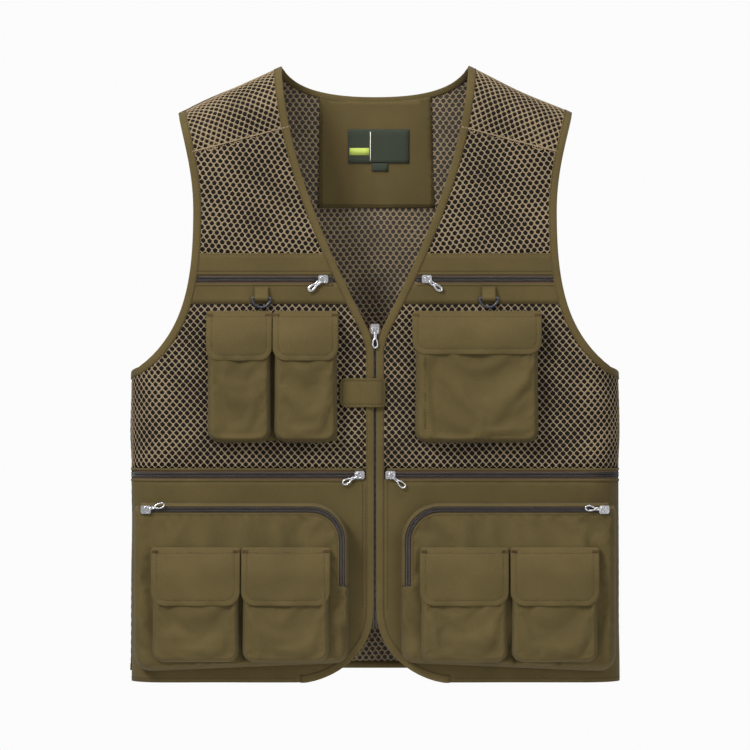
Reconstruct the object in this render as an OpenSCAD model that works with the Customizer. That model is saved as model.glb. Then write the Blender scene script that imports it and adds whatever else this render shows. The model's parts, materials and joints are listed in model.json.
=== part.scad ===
// Fishing vest: mesh and woven-cloth body, zip front, patch and cargo pockets.
// Origin midway between the two neck points, on the shoulder line. +Z up, the
// front faces -Y, the wearer's left is +X. The vest hangs upright, zipped shut.

/* [Body] */
// Half the width across the chest, side seam to centre
half_w = 270; // [262:1:280]
// Radius that the cloth turns through at each side and over each shoulder
side_r = 40; // [36:1:46]
// Length from the neck points to the front hem
front_len = 681; // [670:1:690]
// Length from the neck points to the back hem
back_len = 669; // [660:1:680]
// Half the distance between the two neck points
neck_half = 103; // [98:1:106]
// Half the width across the shoulders
shoulder_half = 218; // [214:1:222]
// Drop of the shoulder line from neck to arm
shoulder_drop = 52; // [46:1:58]
// Depth of the armhole below the neck points
underarm_drop = 338; // [325:1:345]
// Thickness of every cloth and mesh panel
cloth_t = 1.2; // [1:0.1:1.5]

/* [Neck and edges] */
// Depth at which the two V edges come together
v_drop = 291; // [285:1:295]
// Depth of the back neckline at its middle
back_neck_drop = 31; // [28:1:36]
// Width of the binding round the neck, fronts and armholes
binding_w = 9; // [7:0.5:10]
// Distance of each front edge from the centre line
lip_x = 1.5; // [1.4:0.1:2]
// Height above the hem where the front corners start to curve away
corner_rise = 81; // [70:1:90]
// Distance of the cut-away corner from the centre line at the hem
corner_in = 76; // [60:1:85]
// Height of the forward shoulder seam at the neck, below the neck points
yoke_drop = 71; // [66:1:76]

/* [Panels] */
// Top of the solid cloth band across the chest
band_top = 207; // [203:1:210]
// Bottom of the chest band
band_bottom = 264; // [262:1:266]
// Height of the chest zips, below the neck points
chest_zip_drop = 236; // [234:1:238]
// Height of the waist zips, below the neck points
waist_zip_drop = 451.5; // [448:0.5:455]
// Height of the slot that each zip shows in
zip_slot = 9; // [8:0.5:10]
// Height of the back hem band
hem_h = 8; // [6:1:12]

/* [Zips] */
// Half the gap between the two rows of coil, which the slider's post runs in
coil_gap = 1.3; // [1.2:0.1:1.5]
// Width of one row of coil
coil_w = 2.1; // [1.8:0.1:2.4]
// Distance from a zip's centre to the edge of its tape
tape_reach = 7; // [6:0.5:8]

/* [Sliders] */
// Length of a slider plate
slider_len = 11; // [10:0.5:12]
// Width of a slider plate
slider_w = 9; // [8:0.5:9.4]
// Length of a pull from its pin to its tip
pull_len = 22; // [20:1:24]
// Width of a pull
pull_w = 6.6; // [6:0.2:7.2]

/* [Pockets] */
// Thickness of the pocket cloth
wall = 1.2; // [1.1:0.1:1.2]
// Depth of a chest pocket
chest_depth = 18; // [12:1:22]
// Depth of a cargo pocket
cargo_depth = 22; // [18:1:26]
// Depth of a small pocket on a cargo pocket
small_depth = 13; // [10:1:16]
// Inner edge of the right chest pockets
chest_in_right = 41; // [41:1:44]
// Width of each of the twin chest pockets
twin_w = 70.5; // [66:0.5:71]
// Inner edge of the left chest pocket
chest_in_left = 44; // [42:1:46]
// Width of the left chest pocket
single_w = 136; // [130:1:140]
// Bottom of the chest pockets
chest_bottom = 416; // [410:1:420]
// Top of the chest flaps
chest_flap_top = 271; // [270.5:0.5:273]
// Inner edge of a cargo pocket
cargo_in = 29; // [27:1:31]
// Outer edge of a cargo pocket
cargo_out = 265; // [262:1:267]
// Top of a cargo pocket
cargo_top = 482; // [480:1:485]
// Bottom of a cargo pocket
cargo_bottom = 658; // [655:1:662]
// Radius of the cargo zip's bend
cargo_bend = 35; // [30:1:38]
// Inner edge of the small pockets
small_in = 50; // [48:1:52]
// Width of each small pocket
small_w = 95.5; // [90:0.5:96]
// Top of the small pockets' flaps
small_flap_top = 530; // [527:1:533]

/* [Trim] */
// Distance of each ring loop from the centre line
loop_x = 125; // [120:1:130]
// Width of a ring loop
loop_w = 15.5; // [14:0.5:16]
// Radius of the ring's half circle, to the middle of its wire
ring_r = 10; // [9.5:0.5:11]
// Radius of the ring's wire
ring_wire = 1.5; // [1.3:0.1:1.6]
// Height of the tab across the main zip
tab_h = 32; // [28:1:34]
// Top of the tab, below the neck points
tab_drop = 345; // [342:1:348]
// Free end of the tab, from the centre line
tab_end = 39; // [36:1:39.5]
// Width of the patch inside the back of the neck
facing_w = 126; // [120:1:130]
// Bottom of that patch, below the neck points
facing_drop = 155; // [150:1:160]
// Width of the sewn neck label
label_w = 68; // [60:1:72]
// Height of the sewn neck label
label_h = 38; // [34:1:40]

/* [Hidden] */
$fn = 96;
LEFT = 1;
RIGHT = -1;

// Colours of the cloth, mesh, metal and plastic
OLIVE = [0.38, 0.33, 0.21];
OLIVE_DARK = [0.31, 0.27, 0.17];
TAN_MESH = [0.55, 0.49, 0.38];
ZIP_DARK = [0.16, 0.13, 0.10];
STEEL = [0.78, 0.78, 0.80];
PLASTIC = [0.12, 0.13, 0.16];
LABEL_GREEN = [0.14, 0.18, 0.13];

flat_half = half_w - side_r;
seam_gap = 0.2;
hinge_gap = 0.3;
slope = atan2(shoulder_drop, shoulder_half - neck_half);
binding_proud = 0.6;
binding_room = 0.5;
yoke_fall = 0.26;
yoke_past = 60;
far = 400;
reach_z = 760;
cut_over = 5;
shoulder_low = 150;

// Handles and ends of the curves of the front edge, armhole and back neckline
neck_past = [1, 14];
neck_lean = 5;
v_handle_x = 60;
v_share = 0.65;
v_end_x = 7.5;
v_ease = 21;
corner_handle = 36;
corner_foot = 6;
corner_past = [12, 3];
arm_past = [2, 16];
arm_lean = 5;
arm_lean_z = 75;
arm_x = 200;
arm_handle_z = 115;
arm_z = 160;
arm_low_z = 235;
arm_foot = [208, 302];
side_past = [12, 7];
side_past_high = 9;
back_neck_handle = [15, 20];
back_neck_x = 60;

// How far out from the cloth's face each layer of a zip lies
coil_top = 0.3;
coil_room = 0.1;
coil_back = -cloth_t - coil_room;
tape_t = 0.6;
plate_t = 1.2;
plate_in = 1.0;
slider_round = 0.56;
plate_gap = 0.4;
plate_back = coil_back - tape_t - plate_gap;
arch_half = 3.1;
arch_leg = 1;
arch_w = 1.6;
tunnel_h = 1.6;
pin_r = 0.55;
pin_n = plate_in + plate_t + tunnel_h / 2;
eye_in = 2.9;
eye_wall = 1.2;
eye_len = 4.1;

// Flaps
flap_t = 1.5;
flap_off = 1.8;
flap_clear = 0.6;
pocket_top_gap = 5;
pocket_lip = 6;
pocket_slope = 30;
pocket_heel = 7;
chamfer = 10;
cargo_face = side_r + cargo_depth;
zip_inset = 7;
cargo_tape = 5;
cargo_zip_end = 573;
cargo_zip_inset = 8;
post_w = 2;
pull_hole_r = 1.7;
pull_hole_off = 0.6;
box_w = 4.5;
box_h = 11;
chest_flap_h_right = 55;
chest_flap_h_left = 48;
small_flap_h = 64;
twin_gap = 2.5;
twin_over = 0.9;
single_over = 3;
small_gap_right = 3;
small_gap_left = 3.5;
patch_w = 50;
patch_h = 12;
patch_t = 0.4;

// Ring loops: axis of the ring's bar
ring_drop = 257;
ring_off = 3.2;
loop_len = 12.5;

// Patch and label inside the neck, as distances in from the back's face
facing_back = cloth_t + seam_gap;
facing_front = facing_back + 1;
label_t = 0.6;
label_front = facing_front + label_t;
label_top = 67;
label_x = 4;
size_tab_x = 5.5;
size_tab_w = 18;
size_tab_h = 9;

// Tab across the main zip: half widths of its hump, and where its sewn end starts and stops
hump_half = 6;
hump_foot = 11;
tab_knee = 8.5;
tab_sewn = 11.5;
tab_over_slider = 0.8;
tab_over_front = 0.4;

// Slider places: distance from the centre line, and droop of each pull
main_slider_drop = 291;
main_zip_over = 6;
main_zip_under = 8;
main_zip_high = v_drop - main_zip_over;
main_zip_low = front_len - corner_rise + main_zip_under;
chest_slider_x = 57;
waist_slider_x = 17;
cargo_slider_x = 251;
droop_chest = 38;
droop_waist_right = 27;
droop_waist_left = 40;
rise_cargo_right = 16;
rise_cargo_left = 6;

// ---------- curves ----------

function bezier(a, b, c, d, n = 9) = [
  for (i = [0 : n])
    let (t = i / n)
      pow(1 - t, 3) * a + 3 * pow(1 - t, 2) * t * b + 3 * (1 - t) * t * t * c + pow(t, 3) * d
];

function unit(v) = v / norm(v);

// The path moved sideways by d, to the left of its own direction
function beside(path, d) = [
  for (i = [0 : len(path) - 1])
    let (
      along = unit(path[min(i + 1, len(path) - 1)] - path[max(i - 1, 0)])
    )
      path[i] + d * [-along.y, along.x]
];

function backwards(path) = [for (i = [len(path) - 1 : -1 : 0]) path[i]];

function tail(path) = [for (i = [1 : len(path) - 1]) path[i]];

function twin_x(i) = chest_in_right + i * (twin_w + twin_gap);

function small_x(side, i) = small_in + i * (small_w + (side > 0 ? small_gap_left : small_gap_right));

function yoke_z(x) = -yoke_drop - (x - neck_half) * yoke_fall;

// Edge of the left front, from above the neck point to below the hem
function front_edge() = concat(
  [[neck_half, 0] + neck_past],
  bezier([neck_half, 0], [neck_half - neck_lean, -v_drop / 3], [v_handle_x, -v_drop * v_share],
    [v_end_x, -v_drop]),
  [[lip_x, -v_drop - v_ease], [lip_x, -front_len + corner_rise]],
  tail(bezier([lip_x, -front_len + corner_rise], [lip_x, -front_len + corner_handle],
    [corner_in / 2, -front_len + corner_foot], [corner_in, -front_len])),
  [[corner_in + corner_past.x, -front_len - corner_past.y]]
);

// Edge of the left armhole, from above the shoulder to past the side seam
function armhole_edge() = concat(
  [[shoulder_half, -shoulder_drop] + arm_past],
  bezier([shoulder_half, -shoulder_drop], [shoulder_half - arm_lean, -arm_lean_z],
    [arm_x, -arm_handle_z], [arm_x, -arm_z]),
  tail(bezier([arm_x, -arm_z], [arm_x, -arm_low_z], [arm_foot.x, -arm_foot.y], [half_w, -underarm_drop])),
  [[half_w + side_past.x, -underarm_drop - side_past.y]]
);

// Left half of the back neckline, from above the neck point to the middle
function back_neck_edge() = concat(
  [[neck_half, 0] + neck_past],
  bezier([neck_half, 0], [neck_half - back_neck_handle.x, -back_neck_handle.y],
    [back_neck_x, -back_neck_drop], [0, -back_neck_drop])
);

// ---------- outlines, drawn in (x, z) ----------

module strip(path, w) {
  polygon(concat(path, backwards(beside(path, w))));
}

module levels(low, high) {
  translate([-far, -high]) square([2 * far, high - low]);
}

module below_yoke() {
  polygon([[-1, yoke_z(0)], [far, yoke_z(far)], [far, -reach_z], [-1, -reach_z]]);
}

module above_yoke() {
  polygon([[-1, yoke_z(0) + seam_gap], [far, yoke_z(far) + seam_gap], [far, yoke_past], [-1, yoke_past]]);
}

// One front, cut back from its edges by inset
module front_outline(inset) {
  polygon(concat(
    beside(front_edge(), inset),
    [[far, -front_len - corner_past.y], [far, -underarm_drop - side_past_high]],
    backwards(beside(armhole_edge(), -inset))
  ));
}

module back_outline(inset) {
  polygon(concat(
    [[-1, -back_neck_drop - inset], [-1, -back_len + hem_h], [far, -back_len + hem_h]],
    [[far, -underarm_drop - side_past_high]],
    backwards(beside(armhole_edge(), -inset)),
    beside(back_neck_edge(), inset)
  ));
}

// ---------- placing outlines on the body ----------

// Pushes an (x, z) outline forwards, between two distances from the centre plane
module forward(from, to) {
  translate([0, -from, 0]) rotate([90, 0, 0]) linear_extrude(to - from) children();
}

module on_side(side) {
  if (side > 0) children();
  else mirror([1, 0, 0]) children();
}

// Cross-section of the body seen from above
module plan(grow) {
  square([2 * flat_half, 2 * (side_r + grow)], center = true);
  for (s = [-1, 1]) translate([s * flat_half, 0]) circle(side_r + grow);
}

// Tube of the body between two distances from its face, with straight sides
module tube(outer, inner) {
  translate([0, 0, -reach_z]) linear_extrude(reach_z) difference() {
    plan(outer);
    plan(inner);
  }
}

// Section of a shoulder, square to its line
module shoulder_section(grow) {
  circle(side_r + grow);
  translate([0, -side_r - grow]) square([reach_z, 2 * (side_r + grow)]);
}

module shoulder_prism(grow) {
  intersection() {
    translate([neck_half, 0, 0]) rotate([0, slope, 0]) translate([-far / 2, 0, -side_r])
      rotate([0, 90, 0]) linear_extrude(far) shoulder_section(grow);
    translate([0, -far / 2, -reach_z]) cube([far, far, 2 * reach_z]);
  }
}

// Tube of the body closed over the left shoulder
module shoulder_shell(outer, inner) {
  intersection() {
    difference() {
      shoulder_prism(outer);
      shoulder_prism(inner);
    }
    translate([0, 0, -reach_z]) linear_extrude(2 * reach_z) plan(outer);
  }
}

// A piece of the front below the shoulders, on one side, with an (x, z) outline
module front_piece(side, outer = 0, inner = -cloth_t) {
  on_side(side) intersection() {
    tube(outer, inner);
    forward(hinge_gap, side_r + cut_over) children();
  }
}

// ---------- back and shoulders ----------

// The whole left half of the body, closed over the shoulder
module half_shell(outer, inner) {
  intersection() {
    union() {
      intersection() {
        shoulder_shell(outer, inner);
        translate([0, -far / 2, -shoulder_low]) cube([far, far, 2 * shoulder_low]);
      }
      intersection() {
        tube(outer, inner);
        translate([0, -far / 2, -reach_z]) cube([far, far, reach_z - shoulder_low]);
      }
    }
    children();
  }
}

module behind() {
  translate([0, far, 0]) forward(0, far - hinge_gap) children();
}

module before() {
  forward(hinge_gap, far) children();
}

module both_sides() {
  children();
  mirror([1, 0, 0]) children();
}

module back_mesh() {
  color(TAN_MESH) both_sides()
    half_shell(0, -cloth_t) behind() back_outline(binding_w + seam_gap);
}

module back_hem_band() {
  color(OLIVE) both_sides() intersection() {
    tube(binding_proud, -cloth_t);
    behind() translate([0, -back_len]) square([far, hem_h - seam_gap]);
  }
}

module shoulder_yokes() {
  color(TAN_MESH) both_sides() half_shell(0, -cloth_t) before() intersection() {
    front_outline(binding_w + seam_gap);
    above_yoke();
  }
}

module neck_binding() {
  color(OLIVE_DARK) both_sides() half_shell(binding_proud, -cloth_t) union() {
    behind() strip(back_neck_edge(), binding_w);
    before() intersection() {
      strip(front_edge(), binding_w);
      above_yoke();
    }
  }
}

module back_armhole_bindings() {
  color(OLIVE_DARK) both_sides() half_shell(binding_proud, -cloth_t) union() {
    behind() strip(armhole_edge(), -binding_w);
    before() intersection() {
      strip(armhole_edge(), -binding_w);
      above_yoke();
    }
  }
}

// A flat patch inside the back, between two distances in from its face
module inside_back(near, deep, left, right, top, bottom) {
  translate([left, side_r - deep, -bottom]) cube([right - left, deep - near, bottom - top]);
}

module neck_facing() {
  top = back_neck_drop + binding_w + 1;
  color(OLIVE) inside_back(facing_back, facing_front, -facing_w / 2, facing_w / 2, top, facing_drop);
}

module neck_label() {
  color(LABEL_GREEN)
    inside_back(facing_front, label_front, label_x - label_w / 2, label_x + label_w / 2,
      label_top, label_top + label_h);
}

module size_tab() {
  top = label_top + label_h + seam_gap;
  color(LABEL_GREEN)
    inside_back(facing_front, label_front, size_tab_x - size_tab_w / 2, size_tab_x + size_tab_w / 2,
      top, top + size_tab_h);
}

// ---------- front panels ----------

module front_part(side, low, high) {
  front_piece(side) intersection() {
    front_outline(binding_w + seam_gap);
    levels(low, high);
  }
}

module upper_mesh(side) {
  color(TAN_MESH) front_piece(side) intersection() {
    front_outline(binding_w + seam_gap);
    below_yoke();
    levels(0, band_top - seam_gap);
  }
}

module chest_band(side) {
  color(OLIVE) {
    front_part(side, band_top, chest_zip_drop - zip_slot / 2);
    front_part(side, chest_zip_drop + zip_slot / 2, band_bottom);
  }
}

module belly_mesh(side) {
  color(TAN_MESH) front_part(side, band_bottom + seam_gap, waist_zip_drop - zip_slot / 2);
}

module waist_panel(side) {
  color(OLIVE) front_part(side, waist_zip_drop + zip_slot / 2, front_len);
}

module front_bindings(side) {
  color(OLIVE_DARK) difference() {
    front_piece(side, binding_proud) intersection() {
      below_yoke();
      levels(0, front_len);
      union() {
        strip(front_edge(), binding_w);
        strip(armhole_edge(), -binding_w);
      }
    }
    on_side(side) forward(side_r - cut_over, side_r + cut_over) coil_channel();
  }
}

// Room beside the front edges for the coil of the main zip
module coil_channel() {
  translate([0, -main_zip_low - 1])
    square([coil_gap + coil_w + coil_room, main_zip_low - main_zip_high + 2]);
  translate([0, -main_zip_low - box_h - seam_gap])
    square([hinge_gap + box_w + seam_gap, box_h + 2 * seam_gap]);
}

// ---------- zips ----------

// Two rows of coil on their tapes, along a straight level run
module level_zip(side, drop) {
  for (s = [-1, 1]) {
    front_piece(side, coil_top, coil_back) intersection() {
      front_outline(binding_w + seam_gap);
      translate([0, -drop + s * (coil_gap + coil_w / 2)]) square([2 * far, coil_w], center = true);
    }
    front_piece(side, coil_back, coil_back - tape_t) intersection() {
      front_outline(binding_w + seam_gap);
      translate([0, -drop + s * (coil_gap + tape_reach) / 2])
        square([2 * far, tape_reach - coil_gap], center = true);
    }
  }
}

module chest_zip(side) {
  color(ZIP_DARK) level_zip(side, chest_zip_drop);
}

module waist_zip(side) {
  color(ZIP_DARK) level_zip(side, waist_zip_drop);
}

// One side of the main zip, with half of its bottom box
module main_zip(side) {
  color(ZIP_DARK) on_side(side) {
    forward(side_r + coil_back, side_r + coil_top)
      translate([coil_gap, -main_zip_low]) square([coil_w, main_zip_low - main_zip_high]);
    forward(side_r + coil_back - tape_t, side_r + coil_back)
      translate([coil_gap, -main_zip_low]) square([tape_reach, main_zip_low - main_zip_high]);
    forward(side_r + coil_back - tape_t, side_r + coil_top)
      translate([hinge_gap, -main_zip_low - box_h]) square([box_w, box_h]);
  }
}

// Line of a cargo zip between two distances from its middle: level, bent, then down
module cargo_path(inner, outer) {
  right = cargo_in + zip_inset;
  top = cargo_top + zip_inset;
  bend = [right + cargo_bend, -top - cargo_bend];
  translate([bend.x, -top + inner]) square([cargo_out - cargo_zip_inset - bend.x, outer - inner]);
  translate([right - outer, -cargo_zip_end]) square([outer - inner, cargo_zip_end + bend.y]);
  intersection() {
    translate(bend) difference() {
      circle(cargo_bend + outer);
      circle(cargo_bend + inner);
    }
    translate([bend.x - 2 * cargo_bend, bend.y]) square(2 * cargo_bend);
  }
}

module cargo_zip(side) {
  color(ZIP_DARK) on_side(side) for (s = [-1, 1]) {
    coil_edge = s * coil_gap;
    coil_far = s * (coil_gap + coil_w);
    tape_far = s * (cargo_tape);
    forward(cargo_face + coil_back, cargo_face + coil_top)
      cargo_path(min(coil_edge, coil_far), max(coil_edge, coil_far));
    forward(cargo_face + coil_back - tape_t, cargo_face + coil_back)
      cargo_path(min(coil_edge, tape_far), max(coil_edge, tape_far));
  }
}

// ---------- sliders and pulls ----------
// Drawn along +X, with the cloth's face at z = 0 and the outside towards +Z

module slider() {
  color(STEEL) {
    translate([0, 0, plate_in]) linear_extrude(plate_t) slider_outline();
    translate([0, 0, plate_back - plate_t]) linear_extrude(plate_t) slider_outline();
    translate([slider_len / 2 - 3, -post_w / 2, plate_back]) cube([2, post_w, plate_in - plate_back]);
    difference() {
      translate([-arch_half, -arch_w / 2, plate_in + plate_t])
        cube([2 * arch_half, arch_w, tunnel_h + plate_t]);
      translate([-arch_half + arch_leg, -arch_w, plate_in + plate_t])
        cube([2 * (arch_half - arch_leg), 2 * arch_w, tunnel_h]);
    }
  }
}

module slider_outline() {
  intersection() {
    square([slider_len, slider_w], center = true);
    circle(slider_len * slider_round);
  }
}

// The pull hangs from its pin towards -X
module pull() {
  eye_half = eye_in + eye_wall;
  color(STEEL) translate([0, 0, pin_n]) {
    rotate([90, 0, 0]) cylinder(r = pin_r, h = 2 * eye_in + eye_wall, center = true);
    translate([0, 0, -pin_r]) linear_extrude(2 * pin_r) difference() {
      union() {
        translate([-eye_len - eye_wall, -eye_half]) square([eye_len + eye_wall + pin_r, 2 * eye_half]);
        translate([-pull_len + pull_w / 2, -pull_w / 2]) square([pull_len - pull_w / 2 - eye_len, pull_w]);
        translate([-pull_len + pull_w / 2, 0]) circle(pull_w / 2);
      }
      translate([-eye_len, -eye_in]) square([eye_len + 2, 2 * eye_in]);
      translate([-pull_len + pull_w / 2 + pull_hole_off, 0]) circle(pull_hole_r);
    }
  }
}

// Puts a slider or a pull on a zip: along is the direction of +X, droop turns it
module at_zip(x, drop, face, along) {
  translate([x, -face, -drop]) rotate([90, 0, 0]) rotate([0, 0, along]) children();
}

module main_slider() {
  at_zip(0, main_slider_drop, side_r, 90) slider();
}

module main_pull() {
  at_zip(0, main_slider_drop, side_r, 90) pull();
}

module chest_slider(side) {
  on_side(side) at_zip(chest_slider_x, chest_zip_drop, side_r, 180) slider();
}

module chest_pull(side) {
  on_side(side) at_zip(chest_slider_x, chest_zip_drop, side_r, 180 - droop_chest) pull();
}

module waist_slider(side) {
  on_side(side) at_zip(waist_slider_x, waist_zip_drop, side_r, 180) slider();
}

module waist_pull(side, droop) {
  on_side(side) at_zip(waist_slider_x, waist_zip_drop, side_r, 180 - droop) pull();
}

module cargo_slider(side) {
  on_side(side) at_zip(cargo_slider_x, cargo_top + zip_inset, cargo_face, 0) slider();
}

module cargo_pull(side, rise) {
  on_side(side) at_zip(cargo_slider_x, cargo_top + zip_inset, cargo_face, -rise) pull();
}

// ---------- pockets ----------

// Section of a pocket, in (distance out, z), from top to bottom
module pocket_section(base, top, bottom, depth, inset) {
  polygon([
    [base, -top], [base + pocket_lip - inset, -top],
    [base + depth - inset, -top - pocket_slope], [base + depth - inset, -bottom + pocket_heel + inset],
    [base + depth - pocket_heel - inset / 2, -bottom + inset], [base, -bottom + inset]
  ]);
}

// Extrudes a section in (distance out, z) across x from x0 to x1
module across(x0, x1) {
  translate([x0, 0, 0]) rotate([90, 0, 90]) linear_extrude(x1 - x0) mirror([1, 0]) children();
}

module pocket_front(x0, x1, top, bottom, corner) {
  polygon([
    [x0, -top], [x0, -bottom + corner], [x0 + corner, -bottom],
    [x1 - corner, -bottom], [x1, -bottom + corner], [x1, -top]
  ]);
}

// Open-topped patch pocket: front, sides and floor, with the cloth behind as its back
module pocket(x0, x1, top, bottom, base, depth) {
  difference() {
    intersection() {
      across(x0, x1) pocket_section(base, top, bottom, depth, 0);
      forward(base, base + depth) pocket_front(x0, x1, top, bottom, chamfer);
    }
    intersection() {
      across(x0 + wall, x1 - wall) union() {
        pocket_section(base - 1, top, bottom, depth + 1, wall);
        translate([base - 1, -top - 1]) square([pocket_lip + 1 - wall, 3]);
      }
      forward(base - 1, base + depth) pocket_front(x0 + wall, x1 - wall, top - 2, bottom - wall, chamfer);
    }
  }
}

// Flap over a pocket's mouth, hung from a line a little off the cloth
module flap(x0, x1, top, height, base, depth) {
  low = top + height;
  knee = top + pocket_top_gap + pocket_slope;
  lip = pocket_lip + flap_clear;
  color(OLIVE) intersection() {
    across(x0, x1) polygon([
      [base + flap_off, -top], [base + lip, -top - pocket_top_gap], [base + depth + flap_clear, -knee],
      [base + depth + flap_clear, -low], [base + depth + flap_clear + flap_t, -low],
      [base + depth + flap_clear + flap_t, -knee + 1],
      [base + lip + flap_t, -top - pocket_top_gap + 1], [base + flap_off + flap_t, -top]
    ]);
    forward(base, base + depth + 2 * cut_over) pocket_front(x0, x1, top, low, chamfer);
  }
}

module chest_pockets_right() {
  color(OLIVE) on_side(RIGHT) for (i = [0, 1])
    pocket(twin_x(i), twin_x(i) + twin_w, chest_flap_top + pocket_top_gap, chest_bottom,
      side_r + seam_gap, chest_depth);
}

module chest_pocket_left() {
  color(OLIVE) pocket(chest_in_left, chest_in_left + single_w, chest_flap_top + pocket_top_gap,
    chest_bottom, side_r + seam_gap, chest_depth);
}

module chest_flap_right(i) {
  on_side(RIGHT) flap(twin_x(i) - twin_over, twin_x(i) + twin_w + twin_over, chest_flap_top,
    chest_flap_h_right, side_r + seam_gap, chest_depth);
}

module chest_flap_left() {
  flap(chest_in_left - single_over, chest_in_left + single_w + single_over, chest_flap_top,
    chest_flap_h_left, side_r + seam_gap, chest_depth);
}

module small_pockets(side) {
  color(OLIVE) on_side(side) for (i = [0, 1])
    pocket(small_x(side, i), small_x(side, i) + small_w, small_flap_top + pocket_top_gap,
      cargo_bottom - 2, cargo_face + seam_gap, small_depth);
}

module small_flap(side, i) {
  on_side(side) flap(small_x(side, i) - twin_over, small_x(side, i) + small_w + twin_over,
    small_flap_top, small_flap_h, cargo_face + seam_gap, small_depth);
}

// Hook-and-loop strips on the pocket fronts, under their flaps
module patch(x0, w, drop, face) {
  forward(face, face + patch_t) translate([x0 + (w - patch_w) / 2, -drop]) square([patch_w, patch_h]);
}

module closure_patches(side) {
  chest_face = side_r + seam_gap + chest_depth;
  small_face = cargo_face + seam_gap + small_depth;
  color(OLIVE_DARK) {
    on_side(side) for (i = [0, 1])
      patch(small_x(side, i), small_w, small_flap_top + small_flap_h - 4, small_face);
    if (side == RIGHT) on_side(side) for (i = [0, 1])
      patch(twin_x(i), twin_w, chest_flap_top + chest_flap_h_right - 3, chest_face);
    if (side == LEFT) on_side(side)
      patch(chest_in_left, single_w, chest_flap_top + chest_flap_h_left - 1, chest_face);
  }
}

module cargo_outline(inset) {
  bend_r = cargo_bend + zip_inset - inset;
  x0 = cargo_in + inset;
  x1 = cargo_out - inset;
  top = -cargo_top - inset;
  low = -cargo_bottom + inset;
  translate([x0 + bend_r, low]) square([x1 - x0 - bend_r, top - low]);
  translate([x0, low]) square([x1 - x0, top - low - bend_r]);
  translate([x0 + bend_r, top - bend_r]) circle(bend_r);
}

// Cargo pocket: face, gussets and floor, open at the back where the panel closes it
module cargo_pocket(side) {
  color(OLIVE) on_side(side) difference() {
    forward(0, cargo_face) cargo_outline(0);
    forward(-1, cargo_face - wall) cargo_outline(wall);
    translate([0, 0, -reach_z]) linear_extrude(reach_z) plan(seam_gap);
    forward(side_r - cut_over, side_r + binding_proud + seam_gap)
      strip(front_edge(), binding_w + binding_room);
    forward(cargo_face - 2 * wall, cargo_face + 1) cargo_path(-zip_slot / 2, zip_slot / 2);
  }
}

// ---------- trim ----------

module ring_loop(side) {
  axis_y = -side_r - ring_off;
  strap = 1.4;
  color(OLIVE_DARK) on_side(side) difference() {
    union() {
      translate([loop_x - loop_w / 2, axis_y, -ring_drop]) rotate([0, 90, 0])
        cylinder(r = ring_off - seam_gap, h = loop_w);
      translate([loop_x - loop_w / 2, -side_r - seam_gap - strap, -ring_drop])
        cube([loop_w, strap, loop_len]);
    }
    translate([loop_x - loop_w, axis_y, -ring_drop]) rotate([0, 90, 0])
      cylinder(r = ring_wire + hinge_gap, h = 2 * loop_w);
  }
}

module d_ring(side) {
  color(PLASTIC) on_side(side) translate([loop_x, -side_r - ring_off, -ring_drop]) {
    rotate([0, 90, 0]) cylinder(r = ring_wire, h = 2 * ring_r, center = true);
    rotate([90, 0, 0]) rotate([0, 0, 180]) rotate_extrude(angle = 180)
      translate([ring_r, 0]) circle(ring_wire);
    for (s = [-1, 1]) translate([s * ring_r, 0, 0]) sphere(ring_wire);
  }
}

// Tab sewn to the left front: it bridges the zip and lies on the right front
module front_tab() {
  hump = side_r + pin_n + tunnel_h / 2 + plate_t + tab_over_slider;
  low = side_r + binding_proud + tab_over_front;
  color(OLIVE) translate([0, 0, -tab_drop - tab_h]) linear_extrude(tab_h) mirror([0, 1]) polygon([
    [-tab_end, low], [-hump_foot, low], [-hump_half, hump], [hump_half, hump],
    [tab_knee, low + flap_t], [tab_sewn, low + flap_t], [tab_sewn, low + 2 * flap_t],
    [tab_knee, low + 2 * flap_t], [hump_half, hump + flap_t], [-hump_half, hump + flap_t],
    [-hump_foot, low + flap_t], [-tab_end, low + flap_t]
  ]);
}

back_mesh();
back_hem_band();
shoulder_yokes();
neck_facing();
neck_label();
size_tab();
neck_binding();
back_armhole_bindings();
upper_mesh(RIGHT);  // upper_mesh_right
upper_mesh(LEFT);  // upper_mesh_left
chest_band(RIGHT);  // chest_band_right
chest_band(LEFT);  // chest_band_left
belly_mesh(RIGHT);  // belly_mesh_right
belly_mesh(LEFT);  // belly_mesh_left
waist_panel(RIGHT);  // waist_panel_right
waist_panel(LEFT);  // waist_panel_left
front_bindings(RIGHT);  // front_bindings_right
front_bindings(LEFT);  // front_bindings_left
main_zip(RIGHT);  // main_zip_right
main_zip(LEFT);  // main_zip_left
chest_zip(RIGHT);  // chest_zip_right
chest_zip(LEFT);  // chest_zip_left
waist_zip(RIGHT);  // waist_zip_right
waist_zip(LEFT);  // waist_zip_left
cargo_zip(RIGHT);  // cargo_zip_right
cargo_zip(LEFT);  // cargo_zip_left
cargo_pocket(RIGHT);  // cargo_pocket_right
cargo_pocket(LEFT);  // cargo_pocket_left
small_pockets(RIGHT);  // small_pockets_right
small_pockets(LEFT);  // small_pockets_left
chest_pockets_right();
chest_pocket_left();
closure_patches(RIGHT);  // closure_patches_right
closure_patches(LEFT);  // closure_patches_left
ring_loop(RIGHT);  // ring_loop_right
ring_loop(LEFT);  // ring_loop_left
chest_flap_right(0);  // chest_flap_right_inner
chest_flap_right(1);  // chest_flap_right_outer
chest_flap_left();
small_flap(RIGHT, 0);  // small_flap_right_inner
small_flap(RIGHT, 1);  // small_flap_right_outer
small_flap(LEFT, 0);  // small_flap_left_inner
small_flap(LEFT, 1);  // small_flap_left_outer
d_ring(RIGHT);  // d_ring_right
d_ring(LEFT);  // d_ring_left
front_tab();
main_slider();
main_pull();
chest_slider(RIGHT);  // chest_slider_right
chest_pull(RIGHT);  // chest_pull_right
chest_slider(LEFT);  // chest_slider_left
chest_pull(LEFT);  // chest_pull_left
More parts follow.
